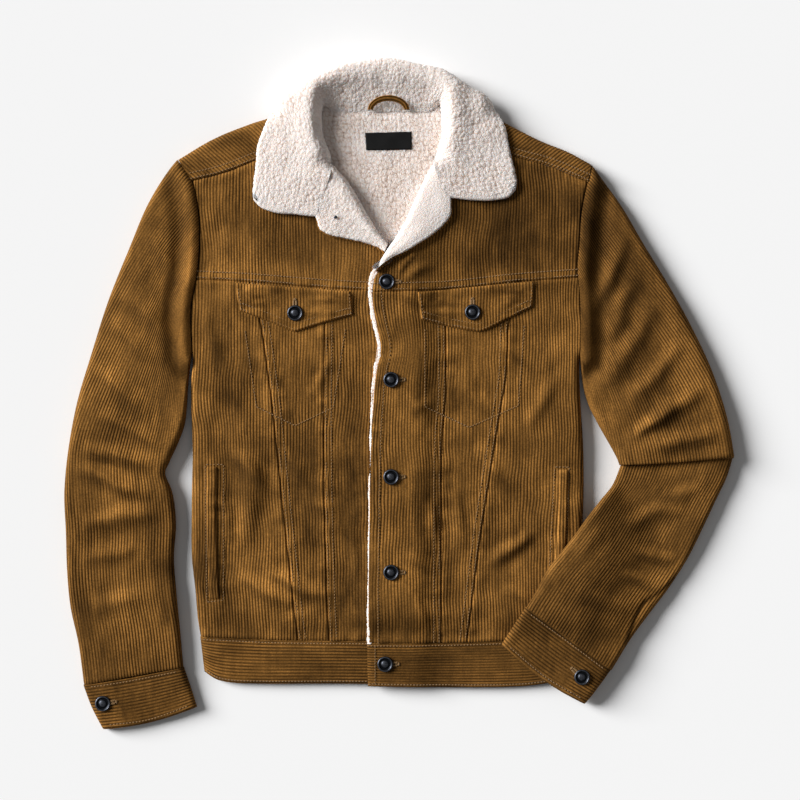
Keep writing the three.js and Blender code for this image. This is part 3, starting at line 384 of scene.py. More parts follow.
@dataclass(frozen=True)
class Sherpa(Finish):
    """Polyester sherpa, a knitted ground whose pile is tumbled into small clumps.

    Light goes some way into the cream pile; the beige of the creases between the clumps is painted shade.
    """
    name: str = "cream_sherpa"
    # the creases' beige is painted shade
    crease_shade: str = "#b3927c"
    pile: str = "#e4d4ca"

    def dress(self, tree: bpy.types.NodeTree, shader: bpy.types.Node) -> None:
        """Colour by the clumps' loft, with painted shade in the creases between them, and curled fibres as
        bump.
        """
        place = add_node(tree, "ShaderNodeTexCoord").outputs["Object"]
        loft_and_crease_shade = add_node(tree, "ShaderNodeAttribute", attribute_name="loft_and_crease_shade").outputs["Fac"]
        broad = add_node(tree, "ShaderNodeTexNoise", {"Vector": place, "Scale": 34.0,
                                                      "Detail": 4.0}).outputs["Fac"]
        mixed = add_node(tree, "ShaderNodeMath", {0: loft_and_crease_shade, 1: broad}, operation="ADD").outputs[0]
        cream = ramp(tree, add_node(tree, "ShaderNodeMapRange",
                                    {"Value": mixed, "From Min": 0.35, "From Max": 1.2}).outputs[0],
                     [(0.0, self.crease_shade), (0.3, "#d2c0b4"), (0.65, self.pile), (1.0, "#eae0da")])
        tree.links.new(cream, shader.inputs["Base Color"])
        # curled fibres about 1 mm across
        curls = add_node(tree, "ShaderNodeTexVoronoi", {"Vector": place, "Scale": 620.0}).outputs["Distance"]
        fine = add_node(tree, "ShaderNodeTexNoise", {"Vector": place, "Scale": 900.0,
                                                     "Detail": 3.0}).outputs["Fac"]
        both = add_node(tree, "ShaderNodeMath", {0: curls, 1: fine}, operation="ADD").outputs[0]
        bump = add_node(tree, "ShaderNodeBump", {"Height": both, "Strength": 0.75, "Distance": 0.0009})
        tree.links.new(bump.outputs[0], shader.inputs["Normal"])
        shader.inputs["Roughness"].default_value = 0.95
        shader.inputs["Specular IOR Level"].default_value = 0.15
        shader.inputs["Sheen Weight"].default_value = 0.25
        shader.inputs["Sheen Roughness"].default_value = 0.6
        shader.inputs["Subsurface Weight"].default_value = 0.7
        shader.inputs["Subsurface Radius"].default_value = (0.006, 0.005, 0.0042)
        shader.inputs["Subsurface Scale"].default_value = 1.0


@dataclass(frozen=True)
class Gunmetal(Finish):
    """Pressed brass tack button plated black and tumbled, so it is dark with soft glints."""
    name: str = "blackened_tack_button"
    colour: str = "#5d6067"

    def dress(self, tree: bpy.types.NodeTree, shader: bpy.types.Node) -> None:
        """Set a dark metal with tumbling marks, lighter worn metal on the proud rim and dome, and painted
        shade in the dished recess.
        """
        place = add_node(tree, "ShaderNodeTexCoord").outputs["Object"]
        marks = add_node(tree, "ShaderNodeTexNoise", {"Vector": place, "Scale": 700.0,
                                                      "Detail": 4.0}).outputs["Fac"]
        rough = add_node(tree, "ShaderNodeMapRange", {"Value": marks, "To Min": 0.28,
                                                      "To Max": 0.5}).outputs[0]
        tree.links.new(rough, shader.inputs["Roughness"])
        # dark where the button is low, as painted shade in the dished recess; lighter worn metal in patches
        # on the proud rim and dome
        wear_and_recess_shade = add_node(tree, "ShaderNodeAttribute", attribute_name="wear_and_recess_shade").outputs["Fac"]
        worn_and_painted_light = add_node(tree, "ShaderNodeMath", {0: marks, 1: wear_and_recess_shade}, operation="MULTIPLY").outputs[0]
        tint = ramp(tree, worn_and_painted_light, [(0.04, "#1e2024"), (0.3, "#3a3d44"), (0.6, self.colour)])
        tree.links.new(tint, shader.inputs["Base Color"])
        shader.inputs["Metallic"].default_value = 0.9


@dataclass(frozen=True)
class Thread(Finish):
    """Spun polyester topstitching thread, 0.5 mm thick, a shade lighter than the cloth."""
    name: str = "golden_brown_thread"
    colour: str = "#94703c"

    def dress(self, tree: bpy.types.NodeTree, shader: bpy.types.Node) -> None:
        """Set the dyed thread with its twist as bump."""
        place = add_node(tree, "ShaderNodeTexCoord").outputs["Object"]
        twist = add_node(tree, "ShaderNodeTexNoise", {"Vector": place, "Scale": 1800.0,
                                                      "Detail": 1.0}).outputs["Fac"]
        tint = ramp(tree, twist, [(0.3, "#6e4f24"), (0.7, self.colour)])
        tree.links.new(tint, shader.inputs["Base Color"])
        shader.inputs["Roughness"].default_value = 0.6
        shader.inputs["Sheen Weight"].default_value = 0.2


@dataclass(frozen=True)
class LabelWeave(Finish):
    """Black damask satin label, woven, with a faint twill."""
    name: str = "black_damask_label"
    colour: str = "#0a0a0a"

    def dress(self, tree: bpy.types.NodeTree, shader: bpy.types.Node) -> None:
        """Set black yarn with a 0.8 mm twill as bump, coarser than the real 0.2 mm so that it shows."""
        place = add_node(tree, "ShaderNodeTexCoord").outputs["Object"]
        twill = add_node(tree, "ShaderNodeTexWave", {"Vector": place, "Scale": 380.0},
                         bands_direction="DIAGONAL").outputs["Fac"]
        bump = add_node(tree, "ShaderNodeBump", {"Height": twill, "Strength": 0.4, "Distance": 0.0003})
        tree.links.new(bump.outputs[0], shader.inputs["Normal"])
        shader.inputs["Base Color"].default_value = linear(self.colour)
        shader.inputs["Roughness"].default_value = 0.7
        shader.inputs["Specular IOR Level"].default_value = 0.2


@dataclass(frozen=True)
class Paper(Finish):
    """Matt white studio paper under the jacket."""
    name: str = "studio_paper"
    colour: str = "#f6f6f6"

    def dress(self, tree: bpy.types.NodeTree, shader: bpy.types.Node) -> None:
        """Set the plain paper."""
        shader.inputs["Base Color"].default_value = linear(self.colour)
        shader.inputs["Roughness"].default_value = 0.95
        shader.inputs["Specular IOR Level"].default_value = 0.1


CORDUROY = Corduroy()
SHERPA = Sherpa()
GUNMETAL = Gunmetal()
THREAD = Thread()
LABEL_WEAVE = LabelWeave()
PAPER = Paper()


# ---------------------------------------------------------------- meshes
@dataclass
class Surface:
    """A grid of points in millimetres, with one number for each, that becomes a mesh."""
    points: Array  # rows x columns x 3
    values: Array  # rows x columns
    attribute: str = "wale"
    wrap: bool = False
    nap_and_painted_light: Array | None = None  # how light the pile's tone and the painted light and shade make it, 1 in the middle

    def faces(self) -> Array:
        """Return the grid's quads as point numbers."""
        rows, columns = self.points.shape[:2]
        number = np.arange(rows * columns).reshape(rows, columns)
        if self.wrap:
            number = np.concatenate([number, number[:, :1]], axis=1)
        return np.stack([number[:-1, :-1], number[1:, :-1], number[1:, 1:], number[:-1, 1:]],
                        axis=-1).reshape(-1, 4)


def make_mesh(name: str, surfaces: Sequence[Surface], finish: Finish,
              merge: float = 2e-5) -> bpy.types.Object:
    """Join surfaces into one smooth object.

    Args:
        name: the piece's name.
        surfaces: the grids it is made of.
        finish: what it is made of.
        merge: points closer than this, in metres, become one.

    Returns:
        The new object, in the scene.
    """
    points, values, nap_and_painted_light_arrays, quads, start = [], [], [], [], 0
    for surface in surfaces:
        flat = surface.points.reshape(-1, 3)
        points.append(flat)
        values.append(surface.values.reshape(-1))
        nap_and_painted_light_arrays.append(np.ones(len(flat)) if surface.nap_and_painted_light is None else surface.nap_and_painted_light.reshape(-1))
        quads.append(surface.faces() + start)
        start += len(flat)
    vertices = np.concatenate(points) * MM
    faces = np.concatenate(quads)
    keys = np.round(vertices / merge).astype(np.int64)
    _, first, where = np.unique(keys, axis=0, return_index=True, return_inverse=True)
    where = where.reshape(-1)
    vertices = vertices[first]
    marks = {surfaces[0].attribute: np.concatenate(values)[first], "nap_and_painted_light": np.concatenate(nap_and_painted_light_arrays)[first]}
    return object_from(name, vertices, where[faces], marks, finish)


def object_from(name: str, vertices: Array, faces: Array, marks: dict[str, Array],
                finish: Finish) -> bpy.types.Object:
    """Make an object from points in metres and quads, some of which may have shrunk to triangles."""
    polygons = []
    for quad in faces.tolist():
        corners = [q for k, q in enumerate(quad) if q != quad[k - 1]]
        if len(set(corners)) >= 3 and len(set(corners)) == len(corners):
            polygons.append(corners)
    mesh = bpy.data.meshes.new(name)
    mesh.from_pydata(vertices.tolist(), [], polygons)
    for attribute, numbers in marks.items():
        layer = mesh.attributes.new(attribute, "FLOAT", "POINT")
        layer.data.foreach_set("value", numbers.astype(np.float32))
    mesh.polygons.foreach_set("use_smooth", np.ones(len(mesh.polygons), dtype=bool))
    mesh.validate()
    mesh.materials.append(finish.material())
    piece = bpy.data.objects.new(name, mesh)
    bpy.context.scene.collection.objects.link(piece)
    return piece


def grid_normals(points: Array) -> Array:
    """Return the unit normal at each point of a grid."""
    down = np.gradient(points, axis=0)
    over = np.gradient(points, axis=1)
    normal = np.cross(down, over)
    return normal / (np.linalg.norm(normal, axis=-1, keepdims=True) + 1e-12)


def settle(piece: bpy.types.Object, slot: Slot, *nodes: str) -> bpy.types.Object:
    """Fasten a piece to the jacket and let it stand for solids."""
    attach(piece, "root")
    if nodes:
        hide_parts(*nodes)
    LOG.info("%s: %d faces", piece.name, len(piece.data.polygons))
    return piece


# ---------------------------------------------------------------- the cloth's form
@dataclass(frozen=True)
class Fold:
    """A soft ridge from one place to another, with a shallow trough on both sides."""
    start: Point
    end: Point
    reach: float
    height: float

    def at(self, x: Array, y: Array) -> Array:
        """Return the ridge's height at each place."""
        dx, dy = self.end[0] - self.start[0], self.end[1] - self.start[1]
        x = x + 4.0 * soft_noise(x, y, 27, 108)
        y = y + 4.0 * soft_noise(x, y, 27, 109)
        share = np.clip(((x - self.start[0]) * dx + (y - self.start[1]) * dy) / (dx * dx + dy * dy), 0, 1)
        off = np.hypot(x - self.start[0] - share * dx, y - self.start[1] - share * dy)
        narrow = np.exp(-((off / self.reach) ** 2))
        wide = np.exp(-((off / (2.1 * self.reach)) ** 2))
        taper = np.sin(math.pi * share) ** 0.9
        return FOLD_GAIN * self.height * taper * (1.3 * narrow - 0.5 * wide)


FRONT_FOLDS = [
    Fold((-186, -208), (-125, -246), 8, 2.8), Fold((-152, -208), (-72, -238), 8, 2.4),
    Fold((-172, -62), (-174, -182), 13, 2.6), Fold((-190, -66), (-150, -112), 8, 2.6),
    Fold((-140, -62), (-104, -108), 9, 1.9), Fold((-102, -122), (-62, -162), 7, 1.4),
    Fold((-208, -118), (-190, -172), 7, 1.4), Fold((-58, -150), (-46, -230), 6, 1.1),
    Fold((-168, 44), (-132, 8), 8, 1.2), Fold((-76, 40), (-102, -2), 7, 1.0),
    Fold((-226, 100), (-206, 40), 8, 1.5), Fold((-214, 20), (-176, -20), 9, 1.3),
    Fold((-206, 190), (-186, 150), 12, 1.2), Fold((-120, 200), (-100, 150), 14, 0.9),
    Fold((154, -156), (104, -198), 8, 2.8), Fold((32, -126), (47, -168), 6, 1.8),
    Fold((84, -60), (132, -112), 10, 2.0), Fold((68, 20), (112, -20), 9, 1.6),
    Fold((182, 20), (150, -42), 9, 1.7), Fold((60, -100), (76, -182), 7, 1.3),
    Fold((18, -232), (34, -280), 6, 1.3), Fold((120, 62), (152, 30), 7, 1.1),
    Fold((14, 0), (34, -40), 6, 1.2), Fold((150, 196), (188, 160), 12, 1.2),
    Fold((64, 186), (104, 156), 12, 0.9), Fold((120, -220), (166, -246), 7, 1.3),
    Fold((-6, 138), (26, 166), 3.5, 1.6), Fold((0, 128), (44, 150), 4.5, 1.3),
    Fold((-2, 118), (30, 104), 5, 1.0),
    Fold((10, -20), (40, -8), 6, 0.9), Fold((14, -180), (44, -206), 6, 1.2),
]
LEFT_SLEEVE_FOLDS = [
    Fold((-366, -60), (-286, -88), 8, 3.0), Fold((-372, -86), (-286, -118), 8, 2.8),
    Fold((-352, 30), (-284, -28), 9, 2.3), Fold((-368, -150), (-284, -136), 9, 2.2),
    Fold((-318, 120), (-262, 60), 10, 2.2), Fold((-346, -20), (-276, -62), 7, 2.0),
    Fold((-374, -196), (-300, -176), 9, 1.4), Fold((-290, 190), (-254, 130), 9, 1.5),
    Fold((-360, -250), (-290, -236), 10, 1.1), Fold((-340, 84), (-282, 40), 8, 1.4),
]
RIGHT_SLEEVE_FOLDS = [
    Fold((300, 110), (238, 6), 12, 2.4), Fold((356, 10), (272, -44), 9, 2.6),
    Fold((372, -40), (290, -66), 8, 2.8), Fold((262, 190), (228, 90), 9, 2.2),
    Fold((330, 60), (262, -20), 9, 1.8), Fold((280, 140), (240, 60), 9, 1.5),
    Fold((318, -10), (262, -52), 7, 1.6),
]
FOREARM_FOLDS = [
    Fold((330, -128), (258, -150), 8, 2.2), Fold((318, -196), (268, -176), 6, 2.6),
    Fold((300, -224), (252, -206), 6, 2.4), Fold((346, -110), (300, -124), 7, 1.6),
    Fold((270, -252), (214, -228), 8, 1.2), Fold((236, -150), (206, -190), 8, 1.0),
]


def folds_at(folds: Sequence[Fold], x: Array, y: Array) -> Array:
    """Return the height of all the folds together."""
    total = np.zeros(np.shape(x))
    for fold in folds:
        total = total + fold.at(x, y)
    return total


def top_of(node: str) -> float:
    """Return a solid's highest point in millimetres."""
    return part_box(node)[1][2] / MM


@dataclass(frozen=True)
class Layers:
    """Heights of the layers over the plan, in millimetres, from the solids' own boxes."""
    lining_top: float = field(default_factory=lambda: top_of("back_lining"))
    front_top: float = field(default_factory=lambda: top_of("front_yoke_left"))
    right_rise: float = field(default_factory=lambda: top_of("front_yoke_right") - top_of("front_yoke_left"))
    band_top: float = field(default_factory=lambda: top_of("hem_left"))
    band_rise: float = field(default_factory=lambda: top_of("hem_right") - top_of("hem_left"))
    underlap: float = 14.0
    hem_start: float = -250.0
    hem_level: float = -284.0
    side_roll: float = 9.0

    def hem_share(self, y: Array) -> Array:
        """Return 0 on the body and 1 at the band."""
        return ease(self.hem_start, self.hem_level, y)

    def lift(self, x: Array, y: Array) -> Array:
        """Return how far the right front stands up where it laps over the left."""
        rise = mix(self.right_rise, self.band_rise, self.hem_share(y))
        return rise * (1 - ease(self.underlap, self.underlap + 40, x)) * (1 - ease(158, 215, y))

    def body(self, x: Array, y: Array) -> Array:
        """Return the fronts' smooth top, without the right one's lift."""
        flat = self.front_top - (self.front_top - self.band_top - 1) * self.hem_share(y)
        soft = 0.9 * soft_noise(x, y, 44, 3) + 0.6 * soft_noise(x, y, 22, 4) + 0.22 * soft_noise(x, y, 10, 5)
        calm = 1 - 0.7 * self.hem_share(y)
        return flat + (folds_at(FRONT_FOLDS, x, y) + soft) * calm

    def left(self, x: Array, y: Array) -> Array:
        """Return the left front's top."""
        return self.body(x, y)

    def right(self, x: Array, y: Array) -> Array:
        """Return the right front's top."""
        return self.body(x, y) + self.lift(x, y)

    def band_left(self, x: Array, y: Array) -> Array:
        """Return the left hem band's top."""
        return self.band_top + 0.25 * soft_noise(x, y, 30, 8) + 0 * y

    def band_right(self, x: Array, y: Array) -> Array:
        """Return the right hem band's top."""
        return self.band_left(x, y) + self.band_rise * (1 - ease(self.underlap, self.underlap + 36, x))

    def middle(self, y: Array) -> Array:
        """Return the height of the side seam."""
        return mix(self.front_top / 2, (self.band_top + 0.35) / 2, self.hem_share(y))


LAYERS = Layers()

# ---------------------------------------------------------------- seams and edges in plan
SIDE_LEFT = [(-234, 133), (-239, 105), (-239.5, 75), (-238.6, 46), (-241, 15), (-241, -20), (-239.4, -60),
             (-240.4, -122), (-240.4, -187), (-236.4, -226), (-233.4, -260), (-230.4, -281)]
SIDE_RIGHT = [(206.8, 135), (209, 105), (209.6, 75), (209, 46), (209.4, 15), (211.4, -20), (213.8, -60),
              (214.4, -110), (212.4, -160), (208.4, -205), (202.4, -245), (196.4, -281)]
SEAMS = {
    "left_outer": [(-172, 129.6), (-160, 83), (-151, 23), (-146, -16), (-132, -150), (-117, -284)],
    "left_inner": [(-86, 122.8), (-86, 78), (-87, -16), (-85, -168), (-81, -286)],
    "left_edge": [(12, 118), (12, 0), (12, -120), (12, -287)],
    "right_edge": [(-31.5, 118), (-29, 96), (-25, 76), (-21.6, 60), (-21.4, 46), (-24.8, 33),
                   (-28.2, 9), (-29.8, -16),
                   (-31.6, -36), (-32, -53), (-33.4, -95), (-34, -146), (-35, -215), (-35, -289)],
    "right_inner": [(54, 121), (54, 74), (54.6, 2), (50, -53), (49, -177), (49, -288)],
    "right_outer": [(135, 129.6), (127, 80), (124, 19), (118, -16), (104, -104), (94, -169), (79, -287)],
}
LEFT_YOKE_INNER = [(-100, 297), (-98, 290), (-92, 276), (-82, 258), (-70, 240), (-57, 217), (-44, 196),
                   (-30, 176),
                   (-8, 156), (8, 138), (12, 118)]
RIGHT_YOKE_INNER = [(61, 306), (60, 297), (58, 285), (52, 268), (41, 250), (31, 226), (22, 203), (13, 184),
                    (2, 166), (-10, 152), (-23, 143), (-28.6, 134), (-31, 118)]
LEFT_YOKE_ARMHOLE = [(-239.4, 248), (-237.4, 240), (-231.4, 209), (-230.4, 176), (-232.4, 145), (-234, 132)]
RIGHT_YOKE_ARMHOLE = [(218, 246), (211, 210), (208.4, 175), (206, 144), (206.8, 134)]
YOKE_SEAM_LEFT = [(-235, 133.2), (-172, 129.9), (-86, 123), (13, 118.2)]
YOKE_SEAM_RIGHT = [(-33, 118), (54, 121.2), (135, 129.8), (208, 135.2)]
SHOULDER_SEAM_LEFT = [(-241, 246.8), (-202, 256.4), (-162, 272.2), (-99, 297)]
SHOULDER_SEAM_RIGHT = [(60, 306), (128, 277), (176.7, 263.2), (219, 245.2)]
HEM_TOP_LEFT = [(-231, -281), (-139, -285), (-37, -286), (13, -286)]
HEM_TOP_RIGHT = [(-37, -288), (49, -288), (119, -286), (197, -281)]
HEM_BOTTOM_LEFT = [(-226, -322), (-212, -331), (-196, -334.6), (-158, -336), (-62, -336), (12, -337)]
HEM_BOTTOM_RIGHT = [(-36, -338.6), (40, -340), (123, -340), (160, -337.6), (180, -333), (193, -322)]
ARMHOLE_LEFT = [(-256, 272), (-244, 256), (-237, 242), (-231, 209), (-230, 176), (-232, 145), (-234, 131),
                (-239, 105), (-239.4, 75), (-238, 48)]
ARMHOLE_RIGHT = [(223, 266), (218, 246), (211, 210), (208.4, 175), (206, 144), (209, 110), (209.6, 75),
                 (209, 44)]
BAG_LEFT = [(-178, 74), (-165, -14), (-120, -36), (-76, -15), (-62, 76)]
BAG_RIGHT = [(30, 76), (30, -14), (81, -38), (138, -13), (145, 80)]
LEVEL_SEAMS = [smooth_curve(line, 24) for line in (YOKE_SEAM_LEFT, YOKE_SEAM_RIGHT, SHOULDER_SEAM_LEFT,
                                                   SHOULDER_SEAM_RIGHT,
                                                   HEM_TOP_LEFT, HEM_TOP_RIGHT)]
UPRIGHT_SEAMS = [smooth_curve(line, 24) for line in (
    SEAMS["left_outer"], SEAMS["left_inner"], SEAMS["right_inner"], SEAMS["right_outer"],
    SEAMS["right_edge"],
    [(-213, -83), (-209, -238)], [(188, -86), (178, -239)])]


def near_seam(x: Array, y: Array) -> Array:
    """Return how far each place is from the nearest topstitched seam."""
    return np.minimum.reduce([near_line(x, y, seam) for seam in UPRIGHT_SEAMS + LEVEL_SEAMS])


def pucker(x: Array, y: Array) -> Array:
    """Return the felled seams' thickness and the short ripples that topstitching draws up."""
    upright = np.minimum.reduce([near_line(x, y, seam) for seam in UPRIGHT_SEAMS])
    level = np.minimum.reduce([near_line(x, y, seam) for seam in LEVEL_SEAMS])
    across_upright = soft_noise(x * 0.3, y, 8.5, 11) + 0.6 * soft_noise(x * 0.4, y, 5, 12)
    across_level = soft_noise(x, y * 0.3, 9.5, 13) + 0.5 * soft_noise(x, y * 0.4, 5, 14)
    ripples = 0.75 * across_upright * np.exp(-((upright
                                                / 17) ** 2)) + 0.7 * across_level * np.exp(-((level
                                                        / 13) ** 2))
    return ripples + 0.6 * np.exp(-((np.minimum(upright, level) / 8.5) ** 4))


# ---------------------------------------------------------------- flat panels
@dataclass
class Panel:
    """A corduroy panel between four edges, its wales running up and down."""
    name: str
    left: Sequence[Point]
    right: Sequence[Point]
    top: Sequence[Point]
    bottom: Sequence[Point]
    height: Height
    rolled: int = 0  # -1 rolls down at the left side, +1 at the right
    dips: tuple[float, float, float, float] = (SEAM_DIP,) * 4  # at left, right, top and bottom
    row_step: float = ROW_STEP
    phase: float = 0.0  # moves the wales across
    worn_and_painted_light: float = 0.0  # how much lighter the turned edges are, as painted highlight and wear

    def grid(self) -> Surface:
        """Work out the panel's surface on a lattice whose columns follow the wales."""
        left, right, top, bottom = x_at(self.left), x_at(self.right), y_at(self.top), y_at(self.bottom)
        xs = [p[0] for p in list(self.left) + list(self.right)]
        step = WALE / WALE_STEPS
        lattice = np.arange(math.floor(min(xs) / step), math.ceil(max(xs) / step) + 1) * step
        tall = max(p[1] for p in self.top) - min(p[1] for p in self.bottom)
        share = np.linspace(0.0, 1.0, max(4, int(tall / self.row_step)))
        # close rows at the two ends let the edges turn down
        share = np.sort(np.r_[share, 0.6 / tall, 1.6 / tall, 1 - 1.6 / tall, 1 - 0.6 / tall])[:, None]
        x = np.broadcast_to(lattice, (len(share), len(lattice))).copy()
        for _ in range(3):
            y = mix(top(x), bottom(x), share)
            x = np.clip(lattice, left(y), right(y))
        y = mix(top(x), bottom(x), share)
        z = self.height(x, y) + pucker(x, y)
        if self.rolled:
            side = left(y) if self.rolled < 0 else right(y)
            z = self.roll(np.abs(x - side), y, z)
        # painted light and shade from the slope along the wale, leaving out the hem's drop, times the
        # patches and the pile's own tone
        level = z + (LAYERS.front_top - LAYERS.band_top - 1) * LAYERS.hem_share(y)
        nap_and_painted_light = slope_painted_light(np.gradient(level, axis=0) / (np.gradient(y, axis=0) - 1e-6)) * painted_light_and_pile(x,
                y) * mottle(x, y)
        bend = 2.8 * soft_noise(x, y, 55, 17) + 0.8 * soft_noise(x, y, 20, 18) + self.drawn(x, y)
        wale = mix(wale_shape(x + bend + self.phase), 0.66, hidden(x, y))
        z = z + WALE_HEIGHT * (wale - 1)
        edges = (x - left(y), right(y) - x, top(x) - y, y - bottom(x))
        edge = np.minimum.reduce(edges)
        # painted highlight and wear along the turned edges
        nap_and_painted_light = nap_and_painted_light + self.worn_and_painted_light * np.exp(-((edge / 2.2) ** 2)) * (0.8 + 0.6 * soft_noise(x, y, 4, 19))
        for distance, dip in zip(edges, self.dips):
            z = z - dip * (1 - ease(0.0, 1.7, distance))
        return Surface(np.stack([x, y, z], axis=-1), wale, nap_and_painted_light=nap_and_painted_light)

    def drawn(self, x: Array, y: Array) -> Array:
        """Return how far the wales are drawn sideways by the wavy front edge and the folds."""
        if "center_right" not in self.name:
            return 0 * x
        edge = x_at(self.left)(y)
        return -(edge + 31) * np.exp(-np.clip(x - edge, 0, None) / 26)

    def roll(self, distance: Array, y: Array, z: Array) -> Array:
        """Bring the cloth down round the side, below the armpit."""
        inward = np.clip(1 - distance / LAYERS.side_roll, 0, 1)
        fall = (z - LAYERS.middle(y)) * (1 - np.sqrt(1 - inward**2))
        return z - fall * (1 - ease(30, 52, y))

    def build(self, on: Sequence[str], *nodes: str) -> bpy.types.Object:
        """Make the panel and let it stand for its solid."""
        surface = self.grid()
        piece = make_mesh(self.name, [surface], CORDUROY)
        settle(piece, Slot.CORDUROY, *nodes)
        plan = surface.points.copy()
        plan[..., 2] = 0
        return piece


class Fronts:
    """The two fronts: yokes, side, middle and centre panels."""

    def build(self) -> None:
        """Make every panel of both fronts."""
        left, right = LAYERS.left, LAYERS.right
        hem_left, hem_right = HEM_TOP_LEFT, HEM_TOP_RIGHT
        side = (0.0, SEAM_DIP, SEAM_DIP, SEAM_DIP)
        panels = [
            Panel("cloth_yoke_left", LEFT_YOKE_ARMHOLE, LEFT_YOKE_INNER, SHOULDER_SEAM_LEFT,
                  YOKE_SEAM_LEFT, left),
            Panel("cloth_yoke_right", RIGHT_YOKE_INNER, RIGHT_YOKE_ARMHOLE, SHOULDER_SEAM_RIGHT,
                  YOKE_SEAM_RIGHT, right),
            Panel("cloth_side_left", SIDE_LEFT, SEAMS["left_outer"], YOKE_SEAM_LEFT, hem_left, left, -1,
                  side),
            Panel("cloth_middle_left", SEAMS["left_outer"], SEAMS["left_inner"], YOKE_SEAM_LEFT,
                  hem_left, left),
            Panel("cloth_center_left", SEAMS["left_inner"], SEAMS["left_edge"], YOKE_SEAM_LEFT,
                  hem_left, left),
            Panel("cloth_center_right", SEAMS["right_edge"], SEAMS["right_inner"], YOKE_SEAM_RIGHT,
                  hem_right, right),
            Panel("cloth_middle_right", SEAMS["right_inner"], SEAMS["right_outer"], YOKE_SEAM_RIGHT,
                  hem_right, right),
            Panel("cloth_side_right", SEAMS["right_outer"], SIDE_RIGHT, YOKE_SEAM_RIGHT, hem_right, right, 1,
                  (SEAM_DIP, 0.0, SEAM_DIP, SEAM_DIP)),
        ]
        for panel in panels:
            node = panel.name.replace("cloth", "front")
            on = "lining_left" if "left" in panel.name else "lining_right"
            panel.build([on], node)


class Pockets:
    """The pocket flaps and the welts of the side pockets."""
    flap_rise = 3.15
    welt_rise = 2.35

    def flap_surface(self, base: Height, point: Point) -> Height:
        """Return a flap's top: it bellies a little and lifts towards its point."""
        def top(x: Array, y: Array) -> Array:
            near = np.exp(-(((x - point[0]) / 40) ** 2 + ((y - point[1]) / 22) ** 2))
            return base(x, y) + self.flap_rise + 0.7 * near
        return top

    def build(self) -> None:
        """Make both flaps and both welts."""
        dips = (2.2, 2.2, 0.8, 2.6)
        Panel("cloth_flap_left", [(-189, 129), (-187, 112), (-184, 96)], [(-56, 119), (-54, 104), (-53, 91)],
              [(-190, 128.8), (-122, 123.8), (-52, 118.6)], [(-185, 97), (-152, 85), (-127, 74.6),
                                                             (-120, 72.6), (-112, 75),
              (-86, 83), (-52, 92)], self.flap_surface(LAYERS.left, (-120, 84)), dips=dips,
              row_step=2.4, phase=1.8, worn_and_painted_light=0.4).build(
                  ["cloth_middle_left"], "flap_left")
        Panel("cloth_flap_right", [(21.6, 118), (23, 102), (26, 85)], [(157, 131), (156, 116), (153.6, 100)],
              [(20, 117.6), (90, 124.6), (158, 131)], [(25, 86.4), (60, 78), (86, 73.2), (93, 72.6),
                                                       (100, 74.4), (123, 86),
              (154.6, 101)], self.flap_surface(LAYERS.right, (93, 84)), dips=dips, row_step=2.4,
              phase=1.8, worn_and_painted_light=0.4).build(
                  ["cloth_middle_right"], "flap_right")
        dips = (1.9, 1.9, 1.9, 1.9)
        Panel("cloth_welt_left", [(-223, -83), (-222.4, -160), (-219.6, -237)],
              [(-210.4, -83), (-210.8, -160), (-207.8, -237)],
              [(-226, -83.6), (-204, -83.6)], [(-224, -236.6), (-204, -236.6)],
              raised_by(LAYERS.left, self.welt_rise), dips=dips, worn_and_painted_light=0.35).build(
                  ["cloth_side_left"], "welt_left")
        Panel("cloth_welt_right", [(184.6, -86), (182.6, -160), (175, -239)],
              [(196.4, -86), (193.8, -160), (186.4, -239)],
              [(180, -86.8), (200, -86.8)], [(170, -238.4), (192, -238.4)],
              raised_by(LAYERS.right, self.welt_rise), dips=dips, worn_and_painted_light=0.35).build(
                  ["cloth_side_right"], "welt_right")


# ---------------------------------------------------------------- bands, wales along them
def edge_patch(top: Sequence[Point], bottom: Sequence[Point], rows: int, columns: int) -> Array:
    """Return plan points of a strip between two edges, rows from top to bottom."""
    high, low = smooth_curve(top, columns), smooth_curve(bottom, columns)
    share = np.linspace(0, 1, rows)[:, None, None]
    return mix(high[None], low[None], share)


@dataclass
class HemBand:
    """The doubled band along the hem, its wales running along it."""
    name: str
    top: Sequence[Point]
    bottom: Sequence[Point]
    height: Height
    rolled: int

    def build(self, *nodes: str) -> bpy.types.Object:
        """Make one half of the band."""
        depth = abs(self.top[0][1] - self.bottom[0][1]) + 8
        rows = int(depth / (WALE / WALE_STEPS))
        columns = int(curve_length(np.asarray(self.top)) / 4.5)
        plan = edge_patch(self.top, self.bottom, rows, columns)
        x, y = plan[..., 0], plan[..., 1]
        down = np.linspace(0, depth, rows)[:, None] + 0 * x
        wale = mix(wale_shape(down + 0.4 * soft_noise(x, y, 40, 23)), 0.66, hidden(y, x))
        z = self.height(x, y) + WALE_HEIGHT * (wale - 1)
        edge_low, edge_high = depth - down, down
        z = z - 1.4 * (1 - ease(0, 1.6, edge_high))
        round_down = np.clip(1 - edge_low / 3.2, 0, 1)
        z = z - 4.0 * (1 - np.sqrt(1 - round_down**2))
        side = x[:, :1] if self.rolled < 0 else x[:, -1:]
        inward = np.clip(1 - np.abs(x - side) / 6.0, 0, 1)
        z = z - 3.8 * (1 - np.sqrt(1 - inward**2))
        free = np.abs(x - (x[:, -1:] if self.rolled < 0 else x[:, :1]))
        z = z - 2.6 * (1 - ease(0, 2.2, free))
        # the patches of painted light and shade, with the pile's own tone
        piece = make_mesh(self.name, [Surface(np.stack([x, y, z], -1), wale, nap_and_painted_light=painted_light_and_pile(x,
                y) * mottle(y, x))], CORDUROY)
        settle(piece, Slot.CORDUROY, *nodes)
        return piece


